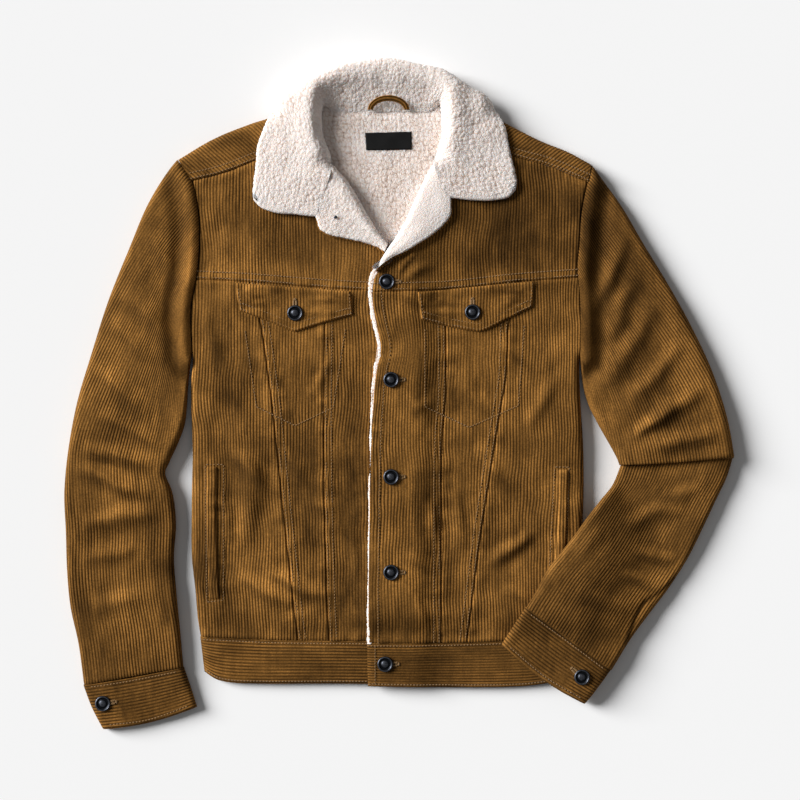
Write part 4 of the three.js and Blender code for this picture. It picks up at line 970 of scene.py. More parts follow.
# ---------------------------------------------------------------- shoulders
@dataclass
class Shoulder:
    """The yoke's end that comes forward over the shoulder, its wales on the slant."""
    name: str
    seam: Sequence[Point]
    fold: Sequence[Point]
    lean: float  # the wales' slant, in degrees from +X

    def build(self, *nodes: str) -> bpy.types.Object:
        """Make the shoulder from the forward seam over the fold to the floor."""
        columns = int(curve_length(np.asarray(self.fold, float)) / (WALE / WALE_STEPS) * 0.8)
        seam, fold = smooth_curve(self.seam, columns), smooth_curve(self.fold, columns)
        direction = fold - seam
        length = np.linalg.norm(direction, axis=1)
        direction = direction / length[:, None]
        radius = LAYERS.front_top / 2
        rows = 46
        under = 12.0
        flat = length - radius
        total = flat + math.pi * radius + under
        run = np.linspace(0, 1, rows)[:, None] * total[None]
        angle = np.clip((run - flat) / radius, 0, math.pi)
        past = np.clip(run - flat - math.pi * radius, 0, None)
        reach = np.minimum(run, flat) + radius * np.sin(angle) - past
        place = seam[None] + direction[None] * reach[..., None]
        x, y = place[..., 0], place[..., 1]
        tilt = math.radians(self.lean)
        flat_x = seam[None, :, 0] + direction[None, :, 0] * run
        flat_y = seam[None, :, 1] + direction[None, :, 1] * run
        wale = wale_shape(-flat_x * math.sin(tilt) + flat_y * math.cos(tilt) + 0.4 * soft_noise(x, y,
                30, 31))
        wale = mix(wale, 0.66, 0.7 * hidden(flat_y, flat_x))
        rise = WALE_HEIGHT * (wale - 1) + 0.5 * soft_noise(x, y, 34, 33) + pucker(x, y) + 0.9
        rise = rise - 1.6 * (1 - ease(0, 1.7, run))
        out = np.stack([direction[None, :, 0] * np.sin(angle), direction[None, :, 1] * np.sin(angle),
                        np.cos(angle)], -1)
        z = radius + radius * np.cos(angle)
        points = np.stack([x, y, z], -1) + out * np.where(angle > 2.6, 0, rise)[..., None]
        # the patches of painted light and shade, with the pile's own tone
        nap_and_painted_light = painted_light_and_pile(x, y) * mottle(flat_y, flat_x)
        piece = make_mesh(self.name, [Surface(points, wale, nap_and_painted_light=nap_and_painted_light)], CORDUROY)
        settle(piece, Slot.CORDUROY, *nodes)
        return piece


# ---------------------------------------------------------------- sleeves
@dataclass(frozen=True)
class Section:
    """A flattened tube's section: its two edges in plan, height, armhole share and sag."""
    outer: Point
    inner: Point
    height: float
    bow: float = 0.0
    sag: float = 0.0


SLEEVE_LEFT = [
    Section((-257.2, 272.4), (-239.6, 47.6), 15.4, 1), Section((-270, 256), (-242, 34), 16, 0.8),
    Section((-290, 223), (-244, 16), 16.4, 0.5), Section((-313, 169), (-245.4, -8), 16.8, 0.25),
    Section((-337, 109), (-248, -33), 17, 0.1), Section((-357, 46), (-256, -56), 17),
    Section((-374, -12), (-266, -78), 17), Section((-383, -60), (-271, -92), 17),
    Section((-388, -108), (-263, -113), 17), Section((-386.4, -160), (-258.6, -150), 16.6),
    Section((-385, -205), (-261, -190), 16.2), Section((-381, -247), (-258, -232), 15.8),
    Section((-372, -288), (-254, -273), 15.4), Section((-365.6, -336.6), (-250.2, -316), 14),
]
CUFF_LEFT = [
    Section((-366.6, -337.2), (-249.6, -316.4), 12.4, sag=1),
    Section((-357, -363), (-241.6, -340), 11.6, sag=3),
    Section((-344, -388.6), (-234.6, -362.6), 10.8, sag=5),
]
SLEEVE_RIGHT = [
    Section((223.6, 266.4), (209.6, 43.6), 15.4, 1), Section((237, 248), (211, 32), 16, 0.8),
    Section((257, 220), (213, 13), 16.6, 0.5), Section((284, 174), (219.4, -11), 17.4, 0.25),
    Section((312, 128), (229, -31), 18, 0.1), Section((340, 77), (239, -49), 19),
    Section((365, 22), (248, -65), 20), Section((382, -34), (253, -75), 21.4),
    Section((389, -74), (255.6, -82), 21, sag=2),
]
FOREARM = [
    Section((388.4, -70), (259.6, -76), 14.0, sag=1.5), Section((380, -97), (248, -104), 15),
    Section((368, -122), (233, -121), 15), Section((353, -154), (217, -141), 15),
    Section((335, -190), (202, -162), 15), Section((314, -223), (187, -181), 15),
    Section((293, -251), (171, -201), 15), Section((271, -280), (158.5, -225), 14.6),
    Section((246, -319.6), (146.6, -244.6), 13.4),
]
CUFF_RIGHT = [
    Section((245.6, -319), (146, -244.4), 12.4), Section((230, -340), (131.4, -267.6), 11.6, sag=2),
    Section((215.6, -359), (118.4, -289.4), 10.8, sag=5),
]
FOREARM_REST = top_of("welt_left") + 0.6
BAND_REST = LAYERS.band_top + 0.7


def forearm_rest(x: Array, y: Array) -> Array:
    """Return the height that the right forearm and cuff lie on."""
    side = mix(214, 196, ease(-110, LAYERS.hem_level, y))
    reach = mix(42, 100, ease(-95, -170, y))
    past_side = 1 - ease(3, reach, x - side)
    past_hem = ease(-374, -341, y)
    on_body = mix(BAND_REST, FOREARM_REST, ease(LAYERS.hem_level - 6, LAYERS.hem_start, y))
    return on_body * past_side * past_hem


@dataclass
class Tube:
    """A flattened sleeve or cuff, made as one skin all round."""
    name: str
    sections: Sequence[Section]
    folds: Sequence[Fold] = ()
    armhole: Sequence[Point] | None = None
    rest: Height = level_ground
    wales_along: bool = True
    ends: tuple[float, float] = (1.2, 1.2)  # how far the two ends turn down
    seed: int = 41
    head_painted_light: tuple[float, float] = (0.42,
                                     -0.32)  # painted light and shade on the ridge and in the trough beside the armhole's seam
    vent: Sequence[Point] | None = None  # the slit above a cuff
    skin: Array | None = None  # the built upper half

    def rows(self) -> tuple[Array, float]:
        """Return the sections' numbers at every row, and the tube's mean length."""
        table = [(*s.outer, *s.inner, s.height, s.bow, s.sag) for s in self.sections]
        middle = np.array([(np.array(s.outer) + np.array(s.inner)) / 2 for s in self.sections])
        length = curve_length(middle)
        step = ROW_STEP if self.wales_along else WALE / WALE_STEPS
        knots = np.r_[0.0, np.cumsum(np.linalg.norm(np.diff(middle, axis=0), axis=1))]
        count = max(8, int(length / step))
        at = np.sort(np.r_[np.linspace(0, length, count), 0.7, 1.8, length - 1.8, length - 0.7])
        table = np.array(table, float)
        slopes = np.gradient(table, knots, axis=0)
        k = np.clip(np.searchsorted(knots, at, side="right") - 1, 0, len(knots) - 2)
        h = (knots[k + 1] - knots[k])[:, None]
        s = (at - knots[k])[:, None] / h
        values = ((2 * s**3 - 3 * s**2 + 1) * table[k] + (s**3 - 2 * s**2 + s) * h * slopes[k]
                  + (3 * s**2 - 2 * s**3) * table[k + 1] + (s**3 - s**2) * h * slopes[k + 1])
        return np.c_[values, at], length

    def half(self, rows: Array, across: Array, upper: bool) -> tuple[Array, Array, Array]:
        """Return one half of the skin: its points, how far up each faces, and its place round the tube."""
        outer, inner = rows[:, None, 0:2], rows[:, None, 2:4]
        height = rows[:, 4][:, None]
        width = np.linalg.norm(outer - inner, axis=-1)
        radius = height / 2
        girth = width - 2 * radius + math.pi * radius
        place = across[None] * girth
        quarter = math.pi * radius / 2
        first = np.clip(place / radius, 0, math.pi / 2)
        last = np.clip((girth - place) / radius, 0, math.pi / 2)
        flat = np.clip(place - quarter, 0, width - 2 * radius)
        off = radius * (1 - np.cos(first)) + flat + radius * np.where(place > girth - quarter,
                np.cos(last), 0)
        off = np.where(place > girth - quarter, width - radius * (1 - np.cos(last)), off)
        up = np.minimum(np.sin(first), np.sin(last))
        z = radius + (radius if upper else -radius) * up
        share = off / width
        plan = inner + (outer - inner) * share[..., None]
        if self.armhole is not None:
            hole = smooth_curve(self.armhole, 200)[::-1]
            hole_at = np.stack([np.interp(share, np.linspace(0, 1, 200), hole[:, d]) for d in (0, 1)], -1)
            chord = hole[0] + (hole[-1] - hole[0]) * share[..., None]
            plan = plan + (hole_at - chord) * rows[:, 5][:, None, None]
        sideways = (outer - inner) / width[..., None]
        down = np.stack([sideways[..., 1], -sideways[..., 0]], -1)
        down = down * np.where(down[..., 1:] > 0, -1, 1)
        plan = plan + down * (rows[:, 6][:, None] * np.sin(math.pi * share))[..., None]
        return np.concatenate([plan, z[..., None]], -1), up, place - girth / 2

    def on_top(self, x: Array, y: Array) -> Array:
        """Return the built skin's height at each place, for the thread that lies on it."""
        skin = self.skin.reshape(-1, 3)
        gaps = np.hypot(skin[:, 0] - np.ravel(x)[:, None], skin[:, 1] - np.ravel(y)[:, None])
        return (skin[gaps.argmin(axis=1), 2] + 0.45).reshape(np.shape(x))

    def build(self, on: Sequence[str], *nodes: str) -> bpy.types.Object:
        """Make the tube, its upper half fine and its lower half, on the floor, plainer."""
        rows, length = self.rows()
        widths = [np.linalg.norm(np.array(s.outer) - np.array(s.inner)) + 0.57 * s.height
                  for s in self.sections]
        widest = max(widths)
        step = WALE / WALE_STEPS if self.wales_along else 3.0
        fine = np.linspace(0, 1, int(widest / step))
        coarse = np.linspace(1, 0, 36)[1:-1]
        top, up, girth = self.half(rows, fine, True)
        low, _, low_girth = self.half(rows, coarse, False)
        x, y = top[..., 0], top[..., 1]
        run = np.broadcast_to(rows[:, -1][:, None], x.shape)
        total = rows[-1, -1]
        soft = 0.9 * soft_noise(x, y, 40, self.seed) + 0.6 * soft_noise(x, y, 19, self.seed + 1)
        rise = (folds_at(self.folds, x, y) + soft) * up
        slope = np.gradient(rise, axis=0) / (np.gradient(run, axis=0) + 1e-6)
        # painted light and shade from the slope along the sleeve, times the patches and the pile's own tone
        nap_and_painted_light = slope_painted_light(-slope) * painted_light_and_pile(x, y) * mottle(girth, run)
        if self.armhole is not None:
            away = near_line(x, y, smooth_curve(self.armhole, 30))
            rise = rise + up * (4.0 * np.exp(-(((away - 9) / 6.5) ** 2)) - 3.8 * np.exp(-(((away - 25)
                    / 8) ** 2)))
            # painted light and shade on the ridge and in the trough beside the armhole
            ridge, trough = np.exp(-(((away - 8) / 5) ** 2)), np.exp(-(((away - 23) / 8) ** 2))
            nap_and_painted_light = nap_and_painted_light * (1 + self.head_painted_light[0] * ridge + self.head_painted_light[1] * trough)
        if self.vent is not None:
            off = near_line(x, y, smooth_curve(self.vent, 30))
            rise = rise - up * 1.6 * np.exp(-((off / 2.4) ** 2))
            # painted shade along the slit
            nap_and_painted_light = nap_and_painted_light * (1 - 0.6 * np.exp(-((off / 2.6) ** 2)))
        along = girth if self.wales_along else run
        wale = mix(wale_shape(along + 0.5 * soft_noise(x, y, 44, self.seed + 2)), 0.66, hidden(girth, run))
        rise = rise + WALE_HEIGHT * (wale - 1) * np.maximum(up, 0.3)
        near_start, near_end = 1 - ease(0, 1.8, run), 1 - ease(0, 1.8, total - run)
        top[..., 2] += rise - self.ends[0] * near_start - self.ends[1] * near_end
        points = np.concatenate([top, low], axis=1)
        values = np.concatenate([wale, np.full(low.shape[:2], 0.7)], axis=1)
        nap_and_painted_light = np.concatenate([nap_and_painted_light, np.full(low.shape[:2], 0.9)], axis=1)
        points[..., 2] += self.rest(points[..., 0], points[..., 1])
        self.skin = points[:, :top.shape[1]].copy()
        piece = make_mesh(self.name, [Surface(points, values, wrap=True, nap_and_painted_light=nap_and_painted_light)], CORDUROY)
        settle(piece, Slot.CORDUROY, *nodes)
        return piece


# ---------------------------------------------------------------- sherpa
def roll_edges(grid: Array, thickness: float, sides: str) -> Array:
    """Carry a seen surface round its free edges to the far side.

    Args:
        grid: rows x columns x 3 points of the seen side.
        thickness: how thick the cloth is.
        sides: which edges are free: s(tart) and e(nd) of the rows, l(eft) and r(ight) of the columns.

    Returns:
        The grid with the rolled edges added.
    """
    turns = np.radians([40, 80, 120, 160, 180])
    for side in sides:
        work = np.swapaxes(grid, 0, 1) if side in "lr" else grid
        work = work[::-1] if side in "sl" else work
        normals = grid_normals(work)
        if side in "lr":
            normals = -normals
        if side in "sl":
            normals = -normals
        edge, normal = work[-1], normals[-2]
        outward = edge - work[-3]
        outward = outward / (np.linalg.norm(outward, axis=-1, keepdims=True) + 1e-9)
        half = thickness / 2
        added = [edge - normal * half * (1 - math.cos(t)) + outward * half * math.sin(t) for t in turns]
        added.append(edge - normal * thickness - outward * 5.0)
        work = np.concatenate([work, np.stack(added)], axis=0)
        work = work[::-1] if side in "sl" else work
        grid = np.swapaxes(work, 0, 1) if side in "lr" else work
    return grid


def pile(grid: Array, size: float, rise: float, seed: int, calm: Array | None = None) -> Surface:
    """Raise a sherpa surface into clumps along its own normals."""
    over = np.linalg.norm(np.gradient(grid, axis=1), axis=-1)
    down = np.linalg.norm(np.gradient(grid, axis=0), axis=-1)
    u = np.cumsum(over, axis=1)
    u = u - u[:, u.shape[1] // 2][:, None]
    v = np.cumsum(down, axis=0)
    v = np.broadcast_to(v.mean(axis=1)[:, None], v.shape)
    wander = 2.2 * soft_noise(u, v, 9, seed + 5)
    big, own = clumps(u + wander, v - wander, size, seed)
    small, _ = clumps(u - wander, v, size * 0.45, seed + 1)
    strength = 1.0 if calm is None else calm
    loft_and_crease_shade = big * (0.72 + 0.28 * small)
    height = strength * (rise * loft_and_crease_shade * (0.65 + 0.6 * own) + 0.35 * rise * small * big)
    height = height + 0.5 * soft_noise(u, v, 17, seed + 2)
    normal = grid_normals(grid)
    # the low values colour the creases as painted shade
    values = mix(0.8, loft_and_crease_shade, strength) if calm is not None else loft_and_crease_shade
    return Surface(grid + normal * (height - rise * 0.6)[..., None], values, "loft_and_crease_shade")


def resample_sections(sections: Sequence[Sequence[Point]], across: int, along: int) -> Array:
    """Return a fine grid through sections: rows along them, columns across."""
    columns = np.stack([smooth_curve(section, across) for section in sections])
    middle = columns[:, across // 2]
    knots = np.r_[0.0, np.cumsum(np.linalg.norm(np.diff(middle, axis=0), axis=1))]
    flat = columns.reshape(len(sections), -1)
    slopes = np.gradient(flat, knots, axis=0)
    at = np.linspace(0, knots[-1], along)
    k = np.clip(np.searchsorted(knots, at, side="right") - 1, 0, len(knots) - 2)
    h = (knots[k + 1] - knots[k])[:, None]
    s = (at - knots[k])[:, None] / h
    values = ((2 * s**3 - 3 * s**2 + 1) * flat[k] + (s**3 - 2 * s**2 + s) * h * slopes[k]
              + (3 * s**2 - 2 * s**3) * flat[k + 1] + (s**3 - s**2) * h * slopes[k + 1])
    return values.reshape(along, across, 3)


COLLAR = [
    [(-94.6, 207.4, 24), (-118, 209.4, 23.6), (-144, 212.4, 23.2), (-159, 218, 23), (-167.4, 226, 22.6)],
    [(-89.6, 224, 25), (-112, 228, 25), (-138, 236, 24), (-154, 243, 23.4), (-164.6, 248, 22.6)],
    [(-83, 241.6, 26.6), (-104, 247, 26.6), (-128, 256, 25), (-148, 264, 23.6), (-162, 268, 22.6)],
    [(-78.6, 256, 28), (-98, 263, 28.4), (-122, 272, 26), (-144, 281, 24), (-160.4, 287, 22.6)],
    [(-79, 276.6, 10), (-82, 278, 22), (-92, 281, 29.6), (-120, 291, 26.6), (-142, 299, 24.4),
     (-155, 303, 22.6)],
    [(-86, 294, 9.8), (-89, 295, 22), (-99, 299, 30.4), (-122, 308, 27), (-139, 315, 24.4), (-149, 319, 21)],
    [(-89, 316, 9.8), (-92, 318, 22), (-101, 324, 31), (-118, 333, 28), (-133, 342, 22.4),
     (-140, 342.6, 12.4),
     (-137.4, 340, 4)],
    [(-86.6, 334, 9.6), (-90, 341, 22), (-98, 350, 31), (-108, 358, 27), (-115.6, 360, 15), (-113, 356, 3.4),
     (-106, 351, 0.6)],
    [(-75, 328.6, 8.6), (-79, 345, 18), (-86, 361, 28.6), (-86, 371, 26), (-79, 377, 14), (-77, 373, 3),
     (-73, 361, 0)],
    [(-48, 328, 8.6), (-49, 350, 17.6), (-52, 370, 27), (-53, 381, 26), (-53, 385, 14), (-52, 380, 2.6),
     (-49, 360, 0)],
    [(-18, 328, 8.6), (-18, 350, 17.6), (-19, 373, 27), (-20, 385, 26), (-20, 389, 14), (-20, 384, 2.6),
     (-18, 360, 0)],
    [(13, 328, 8.6), (14, 349, 17.6), (16, 368, 27), (18, 379, 26), (18, 383, 14), (17, 378, 2.6),
     (14, 356, 0)],
    [(36, 328.6, 8.6), (39, 345, 18), (45, 361, 28.6), (50, 371, 26), (53, 375, 14), (51, 371, 3),
     (45, 359, 0)],
    [(46.6, 335, 9.6), (50, 342, 22), (58, 351, 31), (71, 358.6, 27), (80, 357, 15), (79, 353, 3.4),
     (73, 349, 0.6)],
    [(49, 318, 9.8), (52, 320, 22), (61, 326, 31), (80, 335, 28), (98, 343, 22), (106, 340.6, 12),
     (103.4, 338, 4)],
    [(48.6, 298, 9.8), (51.6, 299, 22), (61, 303, 30.4), (86, 309, 27), (106, 313, 24.4), (118, 315, 21)],
    [(44, 280, 10), (47, 281, 22), (57, 284, 29.6), (82, 287, 26.6), (108, 289, 24.4), (124, 289, 22.6)],
    [(40.4, 265, 28), (60, 267, 28.4), (84, 268, 26), (110, 268, 24), (128.6, 267, 22.6)],
    [(46.4, 246, 26.6), (66, 248, 26.6), (90, 250, 25), (112, 251, 23.6), (132, 252, 22.6)],
    [(56, 228.6, 24), (82, 226.4, 23.6), (110, 226.4, 23.2), (125, 229.6, 23), (134, 238, 22.6)],
]
LAPEL_LEFT = [((-13, 173.5), (-16.5, 164.5)), ((-22.5, 184), (-27, 171)), ((-29, 196), (-42, 176)),
              ((-38, 210), (-62, 180)), ((-48, 228), (-81, 184.6)),
              ((-57.6, 243), (-91.6, 192)), ((-66.6, 255), (-94.6, 201)), ((-79, 268), (-98, 210))]
LAPEL_RIGHT = [((42, 271), (60, 231)), ((31, 254), (60.6, 217)), ((22, 234), (60, 206)),
               ((13, 214), (51, 194.6)),
               ((4, 195), (36, 182)), ((-5, 180), (20, 171.6)), ((-14, 167.4), (4, 162)),
               ((-22.4, 153.6), (-10, 155)),
               ((-28, 142), (-25.6, 141.6))]
LAPEL_RISE = 7.5


class Collar:
    """The sherpa collar, from one front round the back to the other."""

    def build(self) -> None:
        """Make the collar as one thick sheet."""
        grid = resample_sections(COLLAR, 84, 430)
        grid = roll_edges(grid, 6.0, "ser")
        ends = np.minimum(np.arange(len(grid)), np.arange(len(grid))[::-1])
        calm = np.broadcast_to(0.15 + 0.85 * ease(4, 13, ends)[:, None], grid.shape[:2])
        piece = make_mesh("cloth_collar", [pile(grid, 5.4, 0.95, 51, calm)], SHERPA)
        settle(piece, Slot.SHERPA, "collar")


@dataclass
class Lapel:
    """A lapel: its sherpa rolls out over the yoke, with the corduroy side under it."""
    side: str
    rows: Sequence[tuple[Point, Point]]
    top: Height
    pressed: float  # how flat its pile is pressed, from 0 to 1
    crest: float  # how far the roll stands over the rest

    def sections(self) -> list[list[tuple[float, float, float]]]:
        """Return the sections from the roll's foot to the lapel's edge."""
        result = []
        for roll, edge in self.rows:
            start, end = np.array(roll, float), np.array(edge, float)
            width = float(np.linalg.norm(end - start))
            end = mix(start, end, 1 - 2.4 / width)
            scale = min(1.0, width / 26)

            def height(p: Point) -> float:
                """Return the lapel's height at a point."""
                return float(self.top(p[0], p[1])) + LAPEL_RISE

            crest = height(start) + self.crest * scale
            foot = LAYERS.lining_top + 0.4
            if self.side == "right":
                foot = float(mix(16.4, foot, ease(166, 190, roll[1])))
            middle = mix(start, end, 0.6)
            near = mix(start, end, 0.8 * scale / width)
            up = mix(start, end, 4 * scale / width)
            over = mix(start, end, min(0.45, 9 * scale / width))
            result.append([(*start, foot), (*near, mix(foot, crest, 0.6)), (*up, crest - 1.4 * scale),
                           (*over, crest),
                           (*middle, height(middle) + 1), (*end, height(end) + 0.2)])
        return result

    def build(self) -> None:
        """Make the sherpa and the corduroy side."""
        grid = resample_sections(self.sections(), 60, 90)
        grid = roll_edges(grid, 4.8, "r")
        calm = np.full(grid.shape[:2], 1 - self.pressed)
        piece = make_mesh(f"cloth_lapel_{self.side}", [pile(grid, 5.0, 0.8, 61, calm)], SHERPA)
        settle(piece, Slot.SHERPA, f"lapel_{self.side}")
        self.build_shell()

    def build_shell(self) -> None:
        """Make the corduroy side, which shows as a thin brown edge past the sherpa, with a painted highlight
        on its roll.
        """
        inner, outer = [], []
        for roll, edge in self.rows:
            start, end = np.array(roll, float), np.array(edge, float)
            width = float(np.linalg.norm(end - start))
            inner.append(mix(start, end, min(0.62, 13 / width)))
            outer.append(mix(start, end, 1 + 1.8 / width))
        low, high = smooth_curve(inner, 160), smooth_curve(outer, 160)
        share = np.linspace(0, 1, 24)[None, :, None]
        plan = mix(low[:, None], high[:, None], share)
        x, y = plan[..., 0], plan[..., 1]
        wale = wale_shape(x * 0.9 + y * 0.4)
        z = self.top(x, y) + 3.4 + 0.5 * (wale - 1)
        edge = np.linalg.norm(high[:, None] - plan, axis=-1)
        z = z - 2.6 * (1 - ease(0, 1.4, edge))
        # painted highlight along the rolled edge
        nap_and_painted_light = 0.85 + 0.45 * np.exp(-((edge - 1.6) / 1.5) ** 2)
        piece = make_mesh(f"cloth_lapel_shell_{self.side}", [Surface(np.stack([x, y, z], -1), wale,
                nap_and_painted_light=nap_and_painted_light)], CORDUROY)
        settle(piece, Slot.CORDUROY, f"lapel_shell_{self.side}")


class Linings:
    """The sherpa that shows: the back's in the neck, and the right front's along its edge."""

    def build(self) -> None:
        """Make the neck's lining, the edge's pile, and dress the hidden solids."""
        columns, rows = 130, 190
        x = np.linspace(-96, 58, columns)[None] + np.zeros((rows, 1))
        y = np.linspace(337, 60, rows)[:, None] + np.zeros((1, columns))
        belly = 1.2 * np.exp(-(((x + 18) / 60) ** 2 + ((y - 250) / 60) ** 2))
        z = LAYERS.lining_top + 1.9 + belly * 0.2 + 0.4 * soft_noise(x, y, 40, 71) - 1.2 * ease(319, 327, y)
        grid = np.stack([x, y, z], -1)
        lining = pile(grid, 5.2, 0.85, 73)
        # lowered so the neck's sherpa is painted darker, as the shade inside the neck under the collar
        lining.values = lining.values - 0.22
        neck = make_mesh("cloth_neck_lining", [lining], SHERPA)
        settle(neck, Slot.SHERPA)
        self.front_edge()
        for node in ("back_lining", "lining_left", "lining_right"):
            dress_solid(node, SHERPA)

    def front_edge(self) -> None:
        """Make the line of sherpa that shows past the right front's edge, thin where the edge lies close."""
        edge = smooth_curve([(-18, 155), (-27, 143), (-31, 131)] + list(SEAMS["right_edge"]), 440)
        along = edge[:, 1]
        past = 1.5 + 2.2 * ease(-52, 30, along) + 0.5 * soft_noise(along, 0 * along, 17, 81)
        past = past - 1.9 * np.exp(-(((along + 76) / 17) ** 4)) - 0.5 * ease(-120, -180, along)
        turns = np.radians(np.linspace(-10, 190, 13))
        base = LAYERS.right(edge[:, 0] + 3, along) - 4.4
        x = edge[:, :1] + 2.2 - (past + 2.2)[:, None] * np.sin(turns)[None]
        z = base[:, None] + 2.6 * np.cos(turns)[None]
        grid = np.stack([x, np.broadcast_to(along[:, None], x.shape), z], -1)[:, ::-1]
        edging = pile(grid, 4.2, 0.9, 83)
        # lowered so the strip is painted darker, as the shade beside the front's edge
        edging.values = edging.values - 0.3
        piece = make_mesh("cloth_front_edge_pile", [edging], SHERPA)
        settle(piece, Slot.SHERPA)


def dress_solid(node: str, finish: Finish) -> None:
    """Give a carried-over solid a finish."""
    piece = bpy.data.objects[node]
    piece.data.materials.clear()
    piece.data.materials.append(finish.material())


# ---------------------------------------------------------------- trim
def turned_grid(profile: Sequence[tuple[float, float]], centre: Point, base: float,
                steps: int = 48) -> Surface:
    """Turn a profile of radius and height about a vertical line."""
    curve = np.asarray(profile, float)
    turn = np.linspace(0, 2 * math.pi, steps, endpoint=False)
    x = centre[0] + curve[:, :1] * np.cos(turn)[None]
    y = centre[1] + curve[:, :1] * np.sin(turn)[None]
    z = base + curve[:, 1:] + 0 * x
    # 1 on the proud rim and dome, where the metal is worn lighter, 0 below, which the button's colour paints
    # dark as shade in the recess
    proud = np.clip((curve[:, 1] - curve[:, 1].max() * 0.62) / (curve[:, 1].max() * 0.3), 0, 1)
    return Surface(np.stack([x, y, z], -1), proud[:, None] + 0 * x, "wear_and_recess_shade", wrap=True)


class Buttons:
    """The tack buttons: a raised rim, a dished ring and a low dome."""
    names = ("button_front_1", "button_front_2", "button_front_3", "button_front_4", "button_hem",
             "button_flap_left",
             "button_flap_right", "button_cuff_left", "button_cuff_right")
    profile = [(0.01, 0.0), (7.8, 0.0), (8.7, 0.3), (9.1, 0.9), (9.15, 1.6), (8.95, 2.3), (8.5, 2.85),
               (7.9, 3.1), (7.3, 2.95),
               (6.9, 2.4), (6.6, 1.8), (5.6, 1.55), (4.7, 1.7), (4.3, 2.1), (3.9, 2.5), (3.2, 2.8),
               (2.2, 3.05), (1.1, 3.2),
               (0.01, 3.25)]

    def build(self) -> None:
        """Make each button where its solid is."""
        for name in self.names:
            low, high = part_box(name)
            centre = ((low[0] + high[0]) / 2 / MM, (low[1] + high[1]) / 2 / MM)
            surface = turned_grid(self.profile, centre, low[2] / MM - 0.2)
            settle(make_mesh(f"metal_{name}", [surface], GUNMETAL), Slot.GUNMETAL, name)
        low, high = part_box("lapel_tack")
        centre = ((low[0] + high[0]) / 2 / MM, (low[1] + high[1]) / 2 / MM)
        profile = [(0.01, 0), (1.7, 0), (2.0, 0.5), (1.8, 1.0), (1.2, 1.3), (0.6, 1.5), (0.01, 1.6)]
        surface = turned_grid(profile, centre, high[2] / MM - 1.4, 24)
        settle(make_mesh("metal_lapel_tack", [surface], GUNMETAL), Slot.GUNMETAL, "lapel_tack")


class Label:
    """The plain black neck label, its ends folded under."""

    def build(self) -> None:
        """Make the label as a thin woven strip that follows the pile."""
        low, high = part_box("label")
        centre = np.array([(low[0] + high[0]) / 2, (low[1] + high[1]) / 2]) / MM
        u = np.linspace(-27, 27, 90)
        v = np.linspace(10.5, -10.5, 40)
        turn = math.radians(1.6)
        x = centre[0] + u[None] * math.cos(turn) - v[:, None] * math.sin(turn)
        y = centre[1] + u[None] * math.sin(turn) + v[:, None] * math.cos(turn)
        edge = np.minimum(27 - np.abs(u)[None] + 0 * x, 10.5 - np.abs(v)[:, None] + 0 * x)
        z = LAYERS.lining_top + 4.0 + 0.5 * soft_noise(x, y, 14, 91) - 1.6 * (1 - ease(0, 1.2, edge))
        surface = Surface(np.stack([x, y, z], -1), edge, "edge")
        piece = make_mesh("woven_label", [surface], LABEL_WEAVE)
        settle(piece, Slot.LABEL, "label")


class HangerLoop:
    """The corduroy hanger loop, an arch over the neck seam."""

    def build(self) -> None:
        """Make the strip with its two wales and turned edges."""
        low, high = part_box("hanger_loop")
        centre_x = (low[0] + high[0]) / 2 / MM
        foot_y = low[1] / MM
        steps, strips = 80, 17
        turn = np.linspace(math.pi, 0, steps)[:, None]
        offset = np.linspace(3.2, -3.2, strips)[None]
        x = centre_x + (21 + offset) * np.cos(turn)
        y = foot_y + (12.6 + offset) * np.sin(turn)
        across = np.abs(offset) + 0 * x
        wale = np.abs(np.cos(math.pi * offset / 3.2)) ** 0.8 + 0 * x
        z = 13.2 + 0.62 * (y - foot_y) + 0.5 * (wale - 1) - 1.6 * (1 - ease(0, 0.9, 3.2 - across)) + 0.7
        piece = make_mesh("cloth_hanger_loop", [Surface(np.stack([x, y, z], -1), wale)], CORDUROY)
        settle(piece, Slot.CORDUROY, "hanger_loop")


